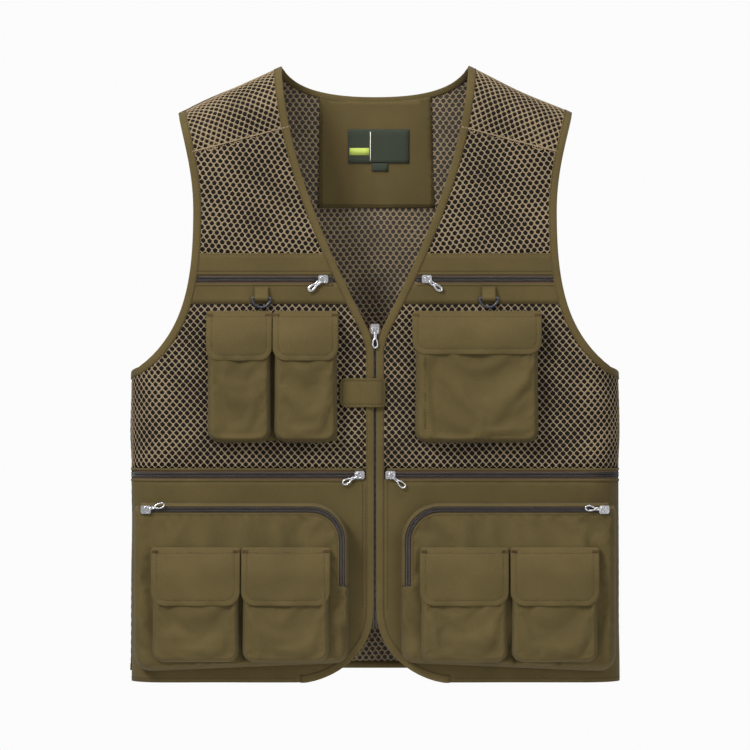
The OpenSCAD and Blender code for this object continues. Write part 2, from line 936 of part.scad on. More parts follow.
waist_slider(RIGHT);  // waist_slider_right
waist_pull(RIGHT, droop_waist_right);  // waist_pull_right
waist_slider(LEFT);  // waist_slider_left
waist_pull(LEFT, droop_waist_left);  // waist_pull_left
cargo_slider(RIGHT);  // cargo_slider_right
cargo_pull(RIGHT, rise_cargo_right);  // cargo_pull_right
cargo_slider(LEFT);  // cargo_slider_left
cargo_pull(LEFT, rise_cargo_left);  // cargo_pull_left
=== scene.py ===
"""Looks of the fishing vest: cloth, mesh, bindings, zips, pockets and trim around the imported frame.

Cloth is drawn flat, as a tailor cuts it, in (across, up) coordinates in metres, and a surface
function lays each point on the body, on a pocket face or on a flap.
"""
import json
import math
from collections import namedtuple

import bpy
import numpy as np
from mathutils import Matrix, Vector, geometry, noise


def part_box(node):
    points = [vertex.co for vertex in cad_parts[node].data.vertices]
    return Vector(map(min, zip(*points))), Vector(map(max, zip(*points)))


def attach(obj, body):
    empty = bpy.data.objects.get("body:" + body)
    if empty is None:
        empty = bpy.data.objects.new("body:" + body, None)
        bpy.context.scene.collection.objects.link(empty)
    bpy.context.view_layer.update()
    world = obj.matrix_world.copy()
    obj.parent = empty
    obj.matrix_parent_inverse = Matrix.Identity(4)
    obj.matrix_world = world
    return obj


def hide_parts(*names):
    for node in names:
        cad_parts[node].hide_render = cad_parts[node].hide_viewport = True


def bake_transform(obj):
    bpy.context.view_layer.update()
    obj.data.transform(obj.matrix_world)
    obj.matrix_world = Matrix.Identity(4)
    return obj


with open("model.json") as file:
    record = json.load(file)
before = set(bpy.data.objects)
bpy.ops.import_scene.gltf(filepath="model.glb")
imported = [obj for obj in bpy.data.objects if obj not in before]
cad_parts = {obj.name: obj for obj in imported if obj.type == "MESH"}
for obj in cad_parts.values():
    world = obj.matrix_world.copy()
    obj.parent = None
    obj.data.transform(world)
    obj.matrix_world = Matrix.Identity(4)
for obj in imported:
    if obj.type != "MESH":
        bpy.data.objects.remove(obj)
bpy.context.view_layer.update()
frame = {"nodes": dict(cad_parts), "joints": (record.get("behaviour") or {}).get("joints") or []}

SIDES = {"right": -1, "left": 1}
FRONT, BACK = -1, 1

# ---------- sizes in metres, read from the frame where it has them ----------

HALF_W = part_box("back_mesh")[1].x
SIDE_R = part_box("back_mesh")[1].y
FLAT_HALF = HALF_W - SIDE_R
NECK_HALF, SHOULDER_HALF, SHOULDER_DROP = 0.103, 0.218, 0.052
SLOPE = math.atan2(SHOULDER_DROP, SHOULDER_HALF - NECK_HALF)
FRONT_LEN = -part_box("waist_panel_left")[0].z
BACK_LEN = -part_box("back_hem_band")[0].z
UNDERARM = 0.338
V_DROP = 0.291
LIP_X = 0.00115                             # each front's edge, from the middle of the main zip
CORNER_RISE, CORNER_IN = 0.081, 0.076       # the rounded bottom corner of each front
BACK_NECK = 0.031
YOKE_DROP, YOKE_FALL = 0.071, 0.26          # depth of the yoke's seam at the neck, and its slope
BAND_TOP, BAND_BOTTOM = -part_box("chest_band_left")[1].z, -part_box("chest_band_left")[0].z
CHEST_ZIP, WAIST_ZIP = 0.236, 0.4515
ZIP_SLOT = 0.009
BINDING_W = 0.009
CARGO_FACE = -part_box("cargo_pocket_left")[0].y
CLOTH_T = 0.0012

# ---------- materials ----------


def new_material(name):
    """A material, its node tree, its shader, and the object coordinates of its textures."""
    material = bpy.data.materials.new(name)
    material.use_nodes = True
    tree = material.node_tree
    coords = tree.nodes.new("ShaderNodeTexCoord").outputs["Object"]
    return material, tree, tree.nodes["Principled BSDF"], coords


def noise_texture(tree, coords, scale, detail, roughness=0.5):
    """Value of a noise texture, finer as scale grows."""
    node = tree.nodes.new("ShaderNodeTexNoise")
    tree.links.new(coords, node.inputs["Vector"])
    for key, value in (("Scale", scale), ("Detail", detail), ("Roughness", roughness)):
        node.inputs[key].default_value = value
    return node.outputs["Fac"]


def thread_bands(tree, coords, direction, scale):
    """Height of parallel threads across one direction of a weave."""
    node = tree.nodes.new("ShaderNodeTexWave")
    node.bands_direction = direction
    tree.links.new(coords, node.inputs["Vector"])
    for key, value in (("Scale", scale), ("Distortion", 1.5), ("Detail", 1.0), ("Detail Scale", 0.6)):
        node.inputs[key].default_value = value
    return node.outputs["Color"]


def ramp(tree, source, stops):
    node = tree.nodes.new("ShaderNodeValToRGB")
    tree.links.new(source, node.inputs["Fac"])
    elements = node.color_ramp.elements
    elements[0].position, elements[0].color = stops[0][0], (*stops[0][1], 1)
    elements[1].position, elements[1].color = stops[-1][0], (*stops[-1][1], 1)
    for place, colour in stops[1:-1]:
        elements.new(place).color = (*colour, 1)
    return node.outputs["Color"]


def mix(tree, factor, a, b, kind="MIX"):
    node = tree.nodes.new("ShaderNodeMix")
    node.data_type, node.blend_type = "RGBA", kind
    node.inputs["Factor"].default_value = factor
    tree.links.new(a, node.inputs["A"])
    tree.links.new(b, node.inputs["B"])
    return node.outputs["Result"]


def bump(tree, shader, height, strength, distance):
    node = tree.nodes.new("ShaderNodeBump")
    node.inputs["Strength"].default_value = strength
    node.inputs["Distance"].default_value = distance
    tree.links.new(height, node.inputs["Height"])
    tree.links.new(node.outputs["Normal"], shader.inputs["Normal"])


def tint(colour, k):
    return tuple(min(1, c * k) for c in colour)


def grey(value):
    return (min(1, value),) * 3


def drive(tree, shader, socket, source, stops):
    """A shader input that follows a texture through a ramp."""
    tree.links.new(ramp(tree, source, stops), shader.inputs[socket])


def woven(name, colour, weave=1400, variation=0.10):
    """Plain-weave cloth: two crossed sets of threads, slubs, and slow changes of shade."""
    material, tree, shader, coords = new_material(name)
    warp = thread_bands(tree, coords, "X", weave)
    weft = thread_bands(tree, coords, "Z", weave)
    slubs = noise_texture(tree, coords, 900, 4, 0.6)
    patches = noise_texture(tree, coords, 22, 3, 0.55)
    shade = ramp(tree, patches, [(0.3, tint(colour, 1 - variation)), (0.5, colour),
                                 (0.72, tint(colour, 1 + variation))])
    threads = ramp(tree, slubs, [(0.3, (0.8, 0.8, 0.78)), (0.7, (1.12, 1.12, 1.1))])
    tree.links.new(mix(tree, 0.8, shade, threads, "MULTIPLY"), shader.inputs["Base Color"])
    weave_height = mix(tree, 1.0, warp, weft, "MULTIPLY")
    slub_height = slubs.node.outputs["Color"]
    bump(tree, shader, mix(tree, 0.45, weave_height, slub_height), 0.35, 0.00025)
    drive(tree, shader, "Roughness", slubs, [(0.2, grey(0.62)), (0.8, grey(0.85))])
    shader.inputs["Sheen Weight"].default_value = 0.03
    shader.inputs["Sheen Roughness"].default_value = 0.5
    shader.inputs["Specular IOR Level"].default_value = 0.06
    return material


def knit(name, colour):
    """Matt filament yarn of the mesh and the stitches."""
    material, tree, shader, coords = new_material(name)
    fibre = noise_texture(tree, coords, 1500, 3, 0.7)
    patches = noise_texture(tree, coords, 30, 2)
    shade = ramp(tree, fibre, [(0.25, tint(colour, 0.62)), (0.5, colour), (0.8, tint(colour, 1.28))])
    tone = ramp(tree, patches, [(0.3, (0.88, 0.88, 0.86)), (0.7, (1.08, 1.07, 1.05))])
    tree.links.new(mix(tree, 1.0, shade, tone, "MULTIPLY"), shader.inputs["Base Color"])
    bump(tree, shader, fibre, 0.5, 0.0002)
    shader.inputs["Roughness"].default_value = 0.8
    shader.inputs["Specular IOR Level"].default_value = 0.1
    return material


def metal(name, colour, rough):
    """Plated zinc: smooth, with faint brushing and small dull marks."""
    material, tree, shader, coords = new_material(name)
    marks = noise_texture(tree, coords, 260, 5, 0.6)
    drive(tree, shader, "Roughness", marks, [(0.35, grey(rough)), (0.75, grey(rough + 0.14))])
    drive(tree, shader, "Base Color", marks, [(0.3, tint(colour, 0.86)), (0.7, colour)])
    bump(tree, shader, marks, 0.05, 0.0001)
    shader.inputs["Metallic"].default_value = 1.0
    return material


def plastic(name, colour, rough):
    """Moulded plastic with a fine spark-eroded grain."""
    material, tree, shader, coords = new_material(name)
    grain = noise_texture(tree, coords, 1800, 4, 0.6)
    dust = noise_texture(tree, coords, 160, 4)
    drive(tree, shader, "Base Color", dust, [(0.35, colour), (0.8, tint(colour, 1.8))])
    drive(tree, shader, "Roughness", dust, [(0.3, grey(rough)), (0.7, grey(rough + 0.18))])
    bump(tree, shader, grain, 0.25, 0.0001)
    return material


OLIVE = (0.0670, 0.0495, 0.0190)
CLOTH = woven("olive_cloth", OLIVE)
BINDING = woven("olive_binding", tint(OLIVE, 1.08), weave=1900)
POCKET_CLOTH = woven("pocket_cloth", tint(OLIVE, 1.02))
MESH = knit("tan_mesh", (0.186, 0.141, 0.087))
# Near-black colour of the thin sheet inside the front meshes: painted shade seen through their holes.
PAINTED_SHADE_SHEET = knit("dark_net", (0.0045, 0.0036, 0.0028))
# Dark grey colour of the thin sheet inside the back mesh: painted shade, a little lighter, seen through its
# holes.
PAINTED_BACK_SHADE_SHEET = knit("back_net", (0.034, 0.029, 0.025))
THREAD = knit("brown_olive_thread", (0.043, 0.029, 0.014))
BARTACK = knit("brown_thread", (0.050, 0.024, 0.012))
PALE_THREAD = knit("pale_thread", (0.085, 0.095, 0.07))
TAPE = woven("zip_tape", (0.120, 0.080, 0.052), weave=2600)
COIL = plastic("zip_coil", (0.012, 0.011, 0.011), 0.30)
STEEL = metal("plated_metal", (0.50, 0.50, 0.52), 0.2)
RING = plastic("ring_plastic", (0.012, 0.014, 0.020), 0.34)
LABEL = woven("label_damask", (0.026, 0.031, 0.022), weave=3200, variation=0.06)
LIME = woven("label_stripe", (0.33, 0.40, 0.085), weave=3200, variation=0.06)
WHITE = woven("label_line", (0.66, 0.68, 0.60), weave=3200, variation=0.05)
HOOK = knit("hook_tape", (0.060, 0.048, 0.024))

# ---------- surfaces: (across, up, out) in metres to a place on the object ----------

COS, SIN = math.cos(SLOPE), math.sin(SLOPE)
SHOULDER_EXTRA = SIDE_R * (math.pi / 2 - 1)


def shoulder_z(x):
    """Height of the shoulder line."""
    return -(x - NECK_HALF) * math.tan(SLOPE)


def yoke_z(x):
    """Height of the seam under the yoke."""
    return -YOKE_DROP - (x - NECK_HALF) * YOKE_FALL


def to_flat(x, z):
    """Flat pattern coordinates of a point of the body seen from the front."""
    a = min(abs(x), HALF_W)
    across = a if a <= FLAT_HALF else FLAT_HALF + SIDE_R * math.asin((a - FLAT_HALF) / SIDE_R)
    s = max((shoulder_z(a) - z) * COS, 0)
    q = SIDE_R * math.acos(1 - s / SIDE_R) if s < SIDE_R else s + SHOULDER_EXTRA
    return math.copysign(across, x), shoulder_z(a) + (SHOULDER_EXTRA - q) / COS


def ripple(u, v, face):
    """Slow hills and hollows of worn cloth, out of the way of the zips and front edges."""
    a = np.abs(u)
    calm = np.clip((a - 0.02) / 0.05, 0, 1)
    for line in (CHEST_ZIP, WAIST_ZIP):
        calm = calm * np.clip((np.abs(-v - line) - 0.012) / 0.03, 0, 1)
    wave = np.sin(31 * u + 9 * v + 0.7 * face) * np.sin(17 * v - 6 * u + 1.3)
    wave = wave + 0.6 * np.sin(52 * u - 13 * v + 2.1) * np.sin(29 * v + 8 * u)
    below_zip = np.clip(-v - WAIST_ZIP - 0.008, 0, None)
    pleats = np.sin(u * 290 + 2 * np.sin(u * 61)) * np.exp(-below_zip / 0.022) * (below_zip > 0)
    edges = np.clip((HALF_W - 0.01 - a) / 0.03, 0, 1) * np.clip((a - 0.02) / 0.03, 0, 1)
    return 0.0014 * calm * wave + 0.00045 * pleats * edges * np.clip(below_zip / 0.004, 0, 1)


def body(face, calm=False):
    """Surface function of the front or back of the body."""
    def surface(u, v, out):
        a = np.abs(u)
        out = out + (0 if calm else ripple(u, v, face))
        turn = np.clip((a - FLAT_HALF) / SIDE_R, 0, None)
        x = np.where(a > FLAT_HALF, FLAT_HALF + (SIDE_R + out) * np.sin(turn), a)
        q = (shoulder_z(a) + SHOULDER_EXTRA / COS - v) * COS
        lean = np.clip(q / SIDE_R, 0, math.pi / 2)
        z = np.where(q < SIDE_R * math.pi / 2,
                     shoulder_z(a) - SIDE_R * (1 - np.cos(lean)) / COS + out * np.cos(lean) * COS, v)
        x = x + out * np.cos(lean) * SIN
        y = face * (SIDE_R + out) * np.sin(lean) * np.cos(turn)
        return np.stack([np.copysign(x, u), y, z], axis=-1)
    return surface


def plane(distance):
    """A flat face in front of the body, such as a cargo pocket's."""
    def surface(u, v, out):
        return np.stack([u, -(distance + out), v], axis=-1)
    return surface


def bezier(a, b, c, d, n=14):
    """Points along a cubic curve from a to d."""
    points = [np.array(p, float) for p in (a, b, c, d)]
    ts = np.linspace(0, 1, n + 1)
    weights = [(1 - ts) ** 3, 3 * (1 - ts) ** 2 * ts, 3 * (1 - ts) * ts ** 2, ts ** 3]
    return [tuple(p) for p in sum(w[:, None] * p for w, p in zip(weights, points))]


def front_edge():
    """The front's edge from the neck point down the V, along the main zip and round the corner."""
    low = -FRONT_LEN
    return (bezier((NECK_HALF, -0.0005), (NECK_HALF - 0.005, -V_DROP / 3), (0.06, -V_DROP * 0.65),
                   (0.0075, -V_DROP), 24)
            + [(0.004, -V_DROP - 0.010), (LIP_X, -V_DROP - 0.021), (LIP_X, low + CORNER_RISE)]
            + bezier((LIP_X, low + CORNER_RISE), (LIP_X, low + 0.036), (CORNER_IN / 2, low + 0.006),
                     (CORNER_IN, low), 12)[1:]
            + [(CORNER_IN + 0.006, low)])


def armhole_edge():
    return (bezier((SHOULDER_HALF, -SHOULDER_DROP - 0.0005), (SHOULDER_HALF - 0.005, -0.075),
                   (0.2, -0.115), (0.2, -0.16))
            + bezier((0.2, -0.16), (0.2, -0.235), (0.208, -0.302), (HALF_W, -UNDERARM), 20)[1:])


def back_neck_edge():
    return bezier((NECK_HALF, -0.0005), (NECK_HALF - 0.015, -0.02), (0.06, -BACK_NECK),
                  (0, -BACK_NECK))


def flatten(path):
    return [to_flat(x, z) for x, z in path]


def ridge(x):
    """Flat pattern place of a point on the top line of the shoulder."""
    return x, shoulder_z(x) + SHOULDER_EXTRA / COS


def resample(path, step):
    """Points along a path at even steps, ends kept."""
    points = np.array(path, float)
    lengths = np.concatenate([[0], np.cumsum(np.linalg.norm(np.diff(points, axis=0), axis=1))])
    keep = np.concatenate([[True], np.diff(lengths) > 1e-9])
    points, lengths = points[keep], lengths[keep]
    at = np.linspace(0, lengths[-1], max(2, int(round(lengths[-1] / step)) + 1))
    return np.stack([np.interp(at, lengths, points[:, k]) for k in range(points.shape[1])], axis=1)


def sideways(path):
    """Unit vectors to the left of the path at each of its points."""
    along = np.gradient(path, axis=0)
    along = along / np.maximum(np.linalg.norm(along, axis=1, keepdims=True), 1e-9)
    return np.stack([-along[:, 1], along[:, 0]], axis=1)


def beside(path, distance):
    """The path moved to its left."""
    path = np.array(path, float)
    return path + distance * sideways(path)


def mirrored(path, side):
    return [(side * p[0], p[1]) for p in path]


# ---------- meshes ----------


def add_object(name, verts, faces, material):
    mesh = bpy.data.meshes.new(name)
    mesh.from_pydata([tuple(v) for v in verts], [], [tuple(f) for f in faces])
    mesh.validate()
    mesh.polygons.foreach_set("use_smooth", [True] * len(mesh.polygons))
    mesh.materials.append(material)
    obj = bpy.data.objects.new(name, mesh)
    bpy.context.scene.collection.objects.link(obj)
    return obj


def tube_faces(count, ring, closed=False):
    """Faces between count rings of vertices, capped at both ends or closed into a loop."""
    faces = []
    for i in range(count if closed else count - 1):
        here, ahead = i * ring, (i + 1) % count * ring
        faces += [(here + j, here + (j + 1) % ring, ahead + (j + 1) % ring, ahead + j) for j in range(ring)]
    if not closed:
        faces += [tuple(range(ring))[::-1], tuple(range((count - 1) * ring, count * ring))]
    return faces


def shell_faces(faces, count):
    """Outer faces, the same faces turned over for the inside, and the rim between them."""
    directed = {(a, b) for face in faces for a, b in zip(face, face[1:] + face[:1])}
    rim = [(a, b) for a, b in directed if (b, a) not in directed]
    under = [tuple(i + count for i in f[::-1]) for f in faces]
    return list(faces) + under + [(b, a, a + count, b + count) for a, b in sorted(rim)]


def rectangle(x0, x1, z0, z1):
    return [(x0, z0), (x1, z0), (x1, z1), (x0, z1)]


def signed_area(outline):
    """Area of an outline, positive where it turns the way that faces forwards."""
    x, z = np.array(outline, float).T
    return np.sum(x * np.roll(z, -1) - np.roll(x, -1) * z) / 2


def outward(outline):
    """The outline, turned so that its faces look forwards."""
    return outline if signed_area(outline) > 0 else outline[::-1]


def inside(points, outline):
    """Which points lie inside a closed outline."""
    outline = np.array(outline)
    x, y = points[:, 0], points[:, 1]
    result = np.zeros(len(points), bool)
    for (x0, y0), (x1, y1) in zip(outline, np.roll(outline, -1, axis=0)):
        if y0 == y1:
            continue
        crosses = (y0 > y) != (y1 > y)
        result ^= crosses & (x < (x1 - x0) * (y - y0) / (y1 - y0) + x0)
    return result


def distance_to(points, path):
    """Distance of each point from a path."""
    best = np.full(len(points), 1e9)
    for start, end in zip(path[:-1], path[1:]):
        leg = np.array(end) - start
        share = np.clip((points - start) @ leg / max(leg @ leg, 1e-18), 0, 1)
        best = np.minimum(best, np.linalg.norm(points - start - share[:, None] * leg, axis=1))
    return best


SHARP = 0.5                                 # a turn in radians that counts as a corner


def even_loop(outline, step):
    """Points round a closed outline at even steps, with its sharp corners kept."""
    points = np.array(outline, float)
    points = points[np.linalg.norm(points - np.roll(points, 1, axis=0), axis=1) > 1e-7]
    before = points - np.roll(points, 1, axis=0)
    after = np.roll(points, -1, axis=0) - points
    cross = before[:, 0] * after[:, 1] - before[:, 1] * after[:, 0]
    turn = np.arctan2(cross, np.sum(before * after, axis=1))
    corners = np.flatnonzero(np.abs(turn) > SHARP)
    if len(corners) == 0:
        return resample(list(points) + [points[0]], step)[:-1]
    points = np.roll(points, -corners[0], axis=0)
    stops = list(corners - corners[0]) + [len(points)]
    closed = np.concatenate([points, points[:1]])
    return np.concatenate([resample(closed[a:b + 1], step)[:-1] for a, b in zip(stops[:-1], stops[1:])])


def triangulate(outline, step, rings=()):
    """Flat mesh of an outline: even points inside, and extra loops just inside its edge."""
    edge = even_loop(outline, step)
    low, high = edge.min(0), edge.max(0)
    columns, rows = np.arange(low[0], high[0], step), np.arange(low[1], high[1], step)
    grid = np.stack(np.meshgrid(columns, rows), -1)
    grid[1::2, :, 0] += step / 2
    grid = grid.reshape(-1, 2)
    deepest = max(rings, default=0)
    grid = grid[inside(grid, edge)]
    grid = grid[distance_to(grid, np.concatenate([edge, edge[:1]])) > deepest + step * 0.55]
    inward = np.sign(signed_area(edge))
    closed = np.concatenate([edge[-1:], edge, edge[:1]])
    loops = [beside(closed, inward * r)[1:-1] for r in rings]
    points = np.concatenate([edge] + loops + [grid])
    loop = list(range(len(edge)))
    verts, _, faces, *_ = geometry.delaunay_2d_cdt([Vector(p) for p in points], [], [loop], 1, 1e-7)
    return np.array([tuple(v) for v in verts]), [tuple(f) for f in faces]


SLACK, PRESSURE, FRAMES = -0.035, 1.2, 16   # extra cloth, pressure inside, and length of the simulation


def settle(name, points, faces, held, cap):
    """Cloth simulation of a skin with a little too much cloth, so that it buckles and sags."""
    obj = add_object(name + "_slack", points, faces, CLOTH)
    group = obj.vertex_groups.new(name="held")
    for i, weight in enumerate(held):
        group.add([i], float(weight), "REPLACE")
    modifier = obj.modifiers.new("cloth", "CLOTH")
    settings = modifier.settings
    settings.quality, settings.mass, settings.air_damping = 5, 0.2, 2.0
    settings.tension_stiffness = settings.compression_stiffness = 12
    settings.shear_stiffness, settings.bending_stiffness = 6, 0.35
    settings.vertex_group_mass = "held"
    settings.shrink_min = SLACK
    settings.use_pressure, settings.uniform_pressure_force = True, PRESSURE
    modifier.collision_settings.use_collision = False
    modifier.point_cache.frame_end = FRAMES
    scene = bpy.context.scene
    for frame_number in range(1, FRAMES + 1):
        scene.frame_set(frame_number)
    result = obj.evaluated_get(bpy.context.evaluated_depsgraph_get()).to_mesh()
    moved = np.array([tuple(v.co) for v in result.vertices])
    scene.frame_set(1)
    mesh = obj.data
    bpy.data.objects.remove(obj)
    bpy.data.meshes.remove(mesh)
    shift = moved - points
    size = np.maximum(np.linalg.norm(shift, axis=1, keepdims=True), 1e-9)
    return points + shift * np.minimum(1, cap * np.tanh(size / cap) / size)


def cloth(name, outline, surface, material, step=0.006, out=0.0, thick=CLOTH_T, back=False):
    """A piece of cloth with thickness, cut to an outline and laid on a surface."""
    flat, faces = triangulate(outline, step)
    if back:
        faces = [f[::-1] for f in faces]
    count = len(flat)
    outer = surface(flat[:, 0], flat[:, 1], np.full(count, out))
    inner = surface(flat[:, 0], flat[:, 1], np.full(count, out - thick))
    return add_object(name, np.concatenate([outer, inner]), shell_faces(faces, count), material)


def tape(name, path, surface, material, width, thick, out=0.0, step=0.004, back=False):
    """A folded strip along a path: width to the left of it, round at both edges."""
    path = resample(path, step)
    left = sideways(path)
    ring = 12
    verts = []
    for angle in np.linspace(0, 2 * math.pi, ring, endpoint=False):
        c, s = math.cos(angle), math.sin(angle)
        across = 0.5 + 0.5 * math.copysign(abs(c) ** 0.35, c)
        height = out + thick * 0.5 * math.copysign(abs(s) ** 0.55, s)
        at = path + left * (width * across)
        verts.append(surface(at[:, 0], at[:, 1], np.full(len(path), height)))
    faces = tube_faces(len(path), ring)
    if back:
        faces = [f[::-1] for f in faces]
    return add_object(name, np.stack(verts, axis=1).reshape(-1, 3), faces, material)


# The four cross-sections of a stitch: place along it, and shares of its full width and height.
STITCH_SHAPE = ((0, 0.35, 0.1), (0.25, 1, 0.9), (0.75, 1, 0.9), (1, 0.35, 0.1))


def thread(name, paths, surface, material, out, length=0.0023, gap=0.0011, width=0.0008):
    """Rows of stitches: short raised capsules along each path."""
    verts, faces = [], []
    buried = out - 0.0001
    for path in paths:
        points = resample(path, length + gap)
        for a, b in zip(points[:-1], points[1:]):
            along = (b - a) / max(np.linalg.norm(b - a), 1e-9)
            side = np.array([-along[1], along[0]])
            base = len(verts)
            for share, fullness, lift in STITCH_SHAPE:
                at = a + along * length * share
                reach = side * width * fullness / 2
                verts += [(*(at + reach), buried), (*at, out + width * 0.6 * lift), (*(at - reach), buried)]
            for i in (0, 1, 3, 4, 6, 7):
                faces.append((base + i, base + i + 1, base + i + 4, base + i + 3))
            faces.append((base, base + 2, base + 1))
            faces.append((base + 9, base + 10, base + 11))
            faces.append((base + 2, base, base + 9, base + 11))
    u, v, height = np.array(verts).T
    return add_object(name, surface(u, v, height), faces, material)


TALL_CELL, WIDE_CELL, YOKE_CELL = (0.0070, 0.0049), (0.0077, 0.0044), (0.0072, 0.0043)
HOLE_TIP, HOLE_X, HOLE_Y, HOLE_CHANGE = 0.68, 0.265, 0.29, 0.12     # holes, as shares of a cell
STRAND, WOBBLE = 0.0012, 0.00022            # thickness of the strands, and how far their rows stray


def lattice(name, outline, surface, cell=TALL_CELL, out=-0.0006, turn=0.0, back=False):
    """Knitted mesh: six-sided holes in staggered rows between raised strands."""
    a, b = cell
    outline = np.array(outline)
    centre = outline.mean(0)
    c, s = math.cos(turn), math.sin(turn)
    spin = np.array([[c, -s], [s, c]])
    reach = np.abs(outline - centre).max() * 1.5
    rows, columns = int(reach / b), int(reach / a)
    j, i = np.meshgrid(np.arange(-rows, rows + 1), np.arange(-columns, columns + 1), indexing="ij")
    cells = np.stack([(i + 0.5 * (j % 2)) * a, j * b], -1).reshape(-1, 2)
    cells = cells[inside(cells @ spin.T + centre, outline)]
    tall, low = b / 2 + a * a / (8 * b), b / 2 - a * a / (8 * b)
    corners = np.array([(0, tall), (-a / 2, low), (-a / 2, -low), (0, -tall), (a / 2, -low), (a / 2, low)])
    rim = (cells[:, None] + corners).reshape(-1, 2)
    keys = np.round(rim / 1e-5).astype(np.int64)
    _, first, shared = np.unique(keys, axis=0, return_index=True, return_inverse=True)
    shared = shared.reshape(-1, 6)
    knots = rim[first]
    patches = np.sin(cells[:, 0] * 71 + 2 * np.sin(cells[:, 1] * 43)) * np.sin(cells[:, 1] * 59)
    tip, x, y = HOLE_TIP * tall, HOLE_X * a, HOLE_Y * b
    oval = np.array([(0, tip), (-x, y), (-x, -y), (0, -tip), (x, -y), (x, y)])
    holes = (cells[:, None] + oval * (1 + HOLE_CHANGE * patches)[:, None, None]).reshape(-1, 2)
    count, m = len(knots), len(cells)

    def lay(points, height):
        points = points @ spin.T + centre
        turned = points[:, ::-1]
        points = points + (np.sin(turned * 211) + 3 * np.sin(turned * 47 + 1)) * WOBBLE
        return surface(points[:, 0], points[:, 1], height)

    verts = np.concatenate([lay(knots, np.full(count, out + STRAND / 2)),
                            lay(knots, np.full(count, out - STRAND / 2)), lay(holes, np.full(6 * m, out))])
    hole = 2 * count + np.arange(6 * m).reshape(m, 6)
    faces = []
    for k in range(6):
        n = (k + 1) % 6
        here, ahead = shared[:, k], shared[:, n]
        faces.append(np.stack([here, ahead, hole[:, n], hole[:, k]], 1))
        faces.append(np.stack([ahead + count, here + count, hole[:, k], hole[:, n]], 1))
    faces = np.concatenate(faces)
    if back:
        faces = faces[:, ::-1]
    return add_object(name + "_knit", verts, faces.tolist(), MESH)


def merged(name, pieces):
    """Joins several objects into one, keeping their materials."""
    bpy.ops.object.select_all(action="DESELECT")
    for piece in pieces:
        piece.select_set(True)
    bpy.context.view_layer.objects.active = pieces[0]
    bpy.ops.object.join()
    pieces[0].name = name
    return pieces[0]


COIL_HALF, COIL_R, COIL_STEPS = 0.0013, 0.00095, 7      # half width, height, and steps in one turn
WIRE_R = 0.00042


def coil(name, path, surface, out, pitch):
    """One row of zip coil: a helix of monofilament along a path."""
    path = resample(path, pitch / COIL_STEPS)
    turns = np.arange(len(path)) * 2 * math.pi / COIL_STEPS
    centre = path + sideways(path) * (np.cos(turns) * COIL_HALF)[:, None]
    core = surface(centre[:, 0], centre[:, 1], out + np.sin(turns) * COIL_R)
    along = np.gradient(core, axis=0)
    along /= np.linalg.norm(along, axis=1, keepdims=True)
    side = np.cross(along, np.array([0.0, -1.0, 0.0]))
    side /= np.maximum(np.linalg.norm(side, axis=1, keepdims=True), 1e-6)
    up = np.cross(side, along)
    ring = 5
    verts = []
    for angle in np.linspace(0, 2 * math.pi, ring, endpoint=False):
        verts.append(core + WIRE_R * (math.cos(angle) * side + math.sin(angle) * up))
    return add_object(name, np.stack(verts, 1).reshape(-1, 3), tube_faces(len(path), ring), COIL)


def painted_shade_layer(name, outline, surface, material=PAINTED_SHADE_SHEET, back=False):
    """A thin dark sheet in the middle of the knitted mesh: painted shade seen through its holes."""
    return cloth(name + "_net", outline, surface, material, step=0.007, out=-0.0004, thick=0.0003, back=back)


def stand_for(obj, nodes, slot):
    """obj stands for CAD nodes, whose parts are hidden; slot is not used."""
    if nodes:
        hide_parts(*nodes)


def place(obj, rider, *nodes, slot=None):
    """obj rides on a body and stands for CAD nodes."""
    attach(obj, rider)
    stand_for(obj, nodes, slot)
    return obj


def stitch(name, rows, surface, out, rider, slot="cloth"):
    """Rows of stitches that ride on a body."""
    place(thread(name, rows, surface, THREAD, out), rider, slot=slot)


def hung(obj, outline, *with_pieces):
    """obj is a sheet of cloth hanging in the vest, cut to a flat outline; the outline's area is worked out
    but not used, and obj comes back unchanged.
    """
    area = abs(signed_area(outline))
    return obj


def bend(obj, side, *nodes, slot=None):
    """obj stands for CAD nodes, whose parts are hidden, and its transform is baked into its mesh."""
    stand_for(obj, nodes, slot)
    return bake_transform(obj)


# ---------- outlines of the panels, on the left side, in flat coordinates ----------

SEAM_UNDER = 0.0045                         # how far in from a bound edge the cloth ends


def on_side(outline, side):
    """The outline mirrored for a side, always turning the same way."""
    s = SIDES[side]
    points = mirrored(outline, s)
    return points if s > 0 else points[::-1]


EDGE = [ridge(NECK_HALF)] + flatten(front_edge())
ARM = flatten(armhole_edge())[::-1] + [ridge(SHOULDER_HALF)]
NECK = [ridge(NECK_HALF)] + flatten(back_neck_edge())
SEAM = to_flat(HALF_W, -UNDERARM)[0]


def tucked(path):
    """A path moved in from a bound edge, to where the cloth ends inside its binding."""
    return beside(resample(path, 0.002), SEAM_UNDER)


UNDER_EDGE = [tuple(p) for p in resample(tucked(EDGE), 0.001)]
UNDER_ARM = [tuple(p) for p in resample(tucked(ARM), 0.001)]

# ---------- body panels ----------


def over_ridge(*places):
    """Corners of a panel just past the top line of the shoulder."""
    return [(x, ridge(x)[1] + 0.0015) for x in places]


def hang_mesh(name, side, outline, **knitting):
    """Knitted mesh of a front, and the thin dark sheet inside it that paints the shade seen through its
    holes.
    """
    facing = on_side(outline, side)
    node = "shoulder_yokes" if "yoke" in name else name
    mesh = bend(lattice(name, facing, body(FRONT), **knitting), side, node, slot="mesh")
    # The thin dark sheet inside the mesh is painted shade seen through its holes.
    hung(bend(painted_shade_layer(name, facing, body(FRONT)), side, slot="mesh"), outline, mesh)


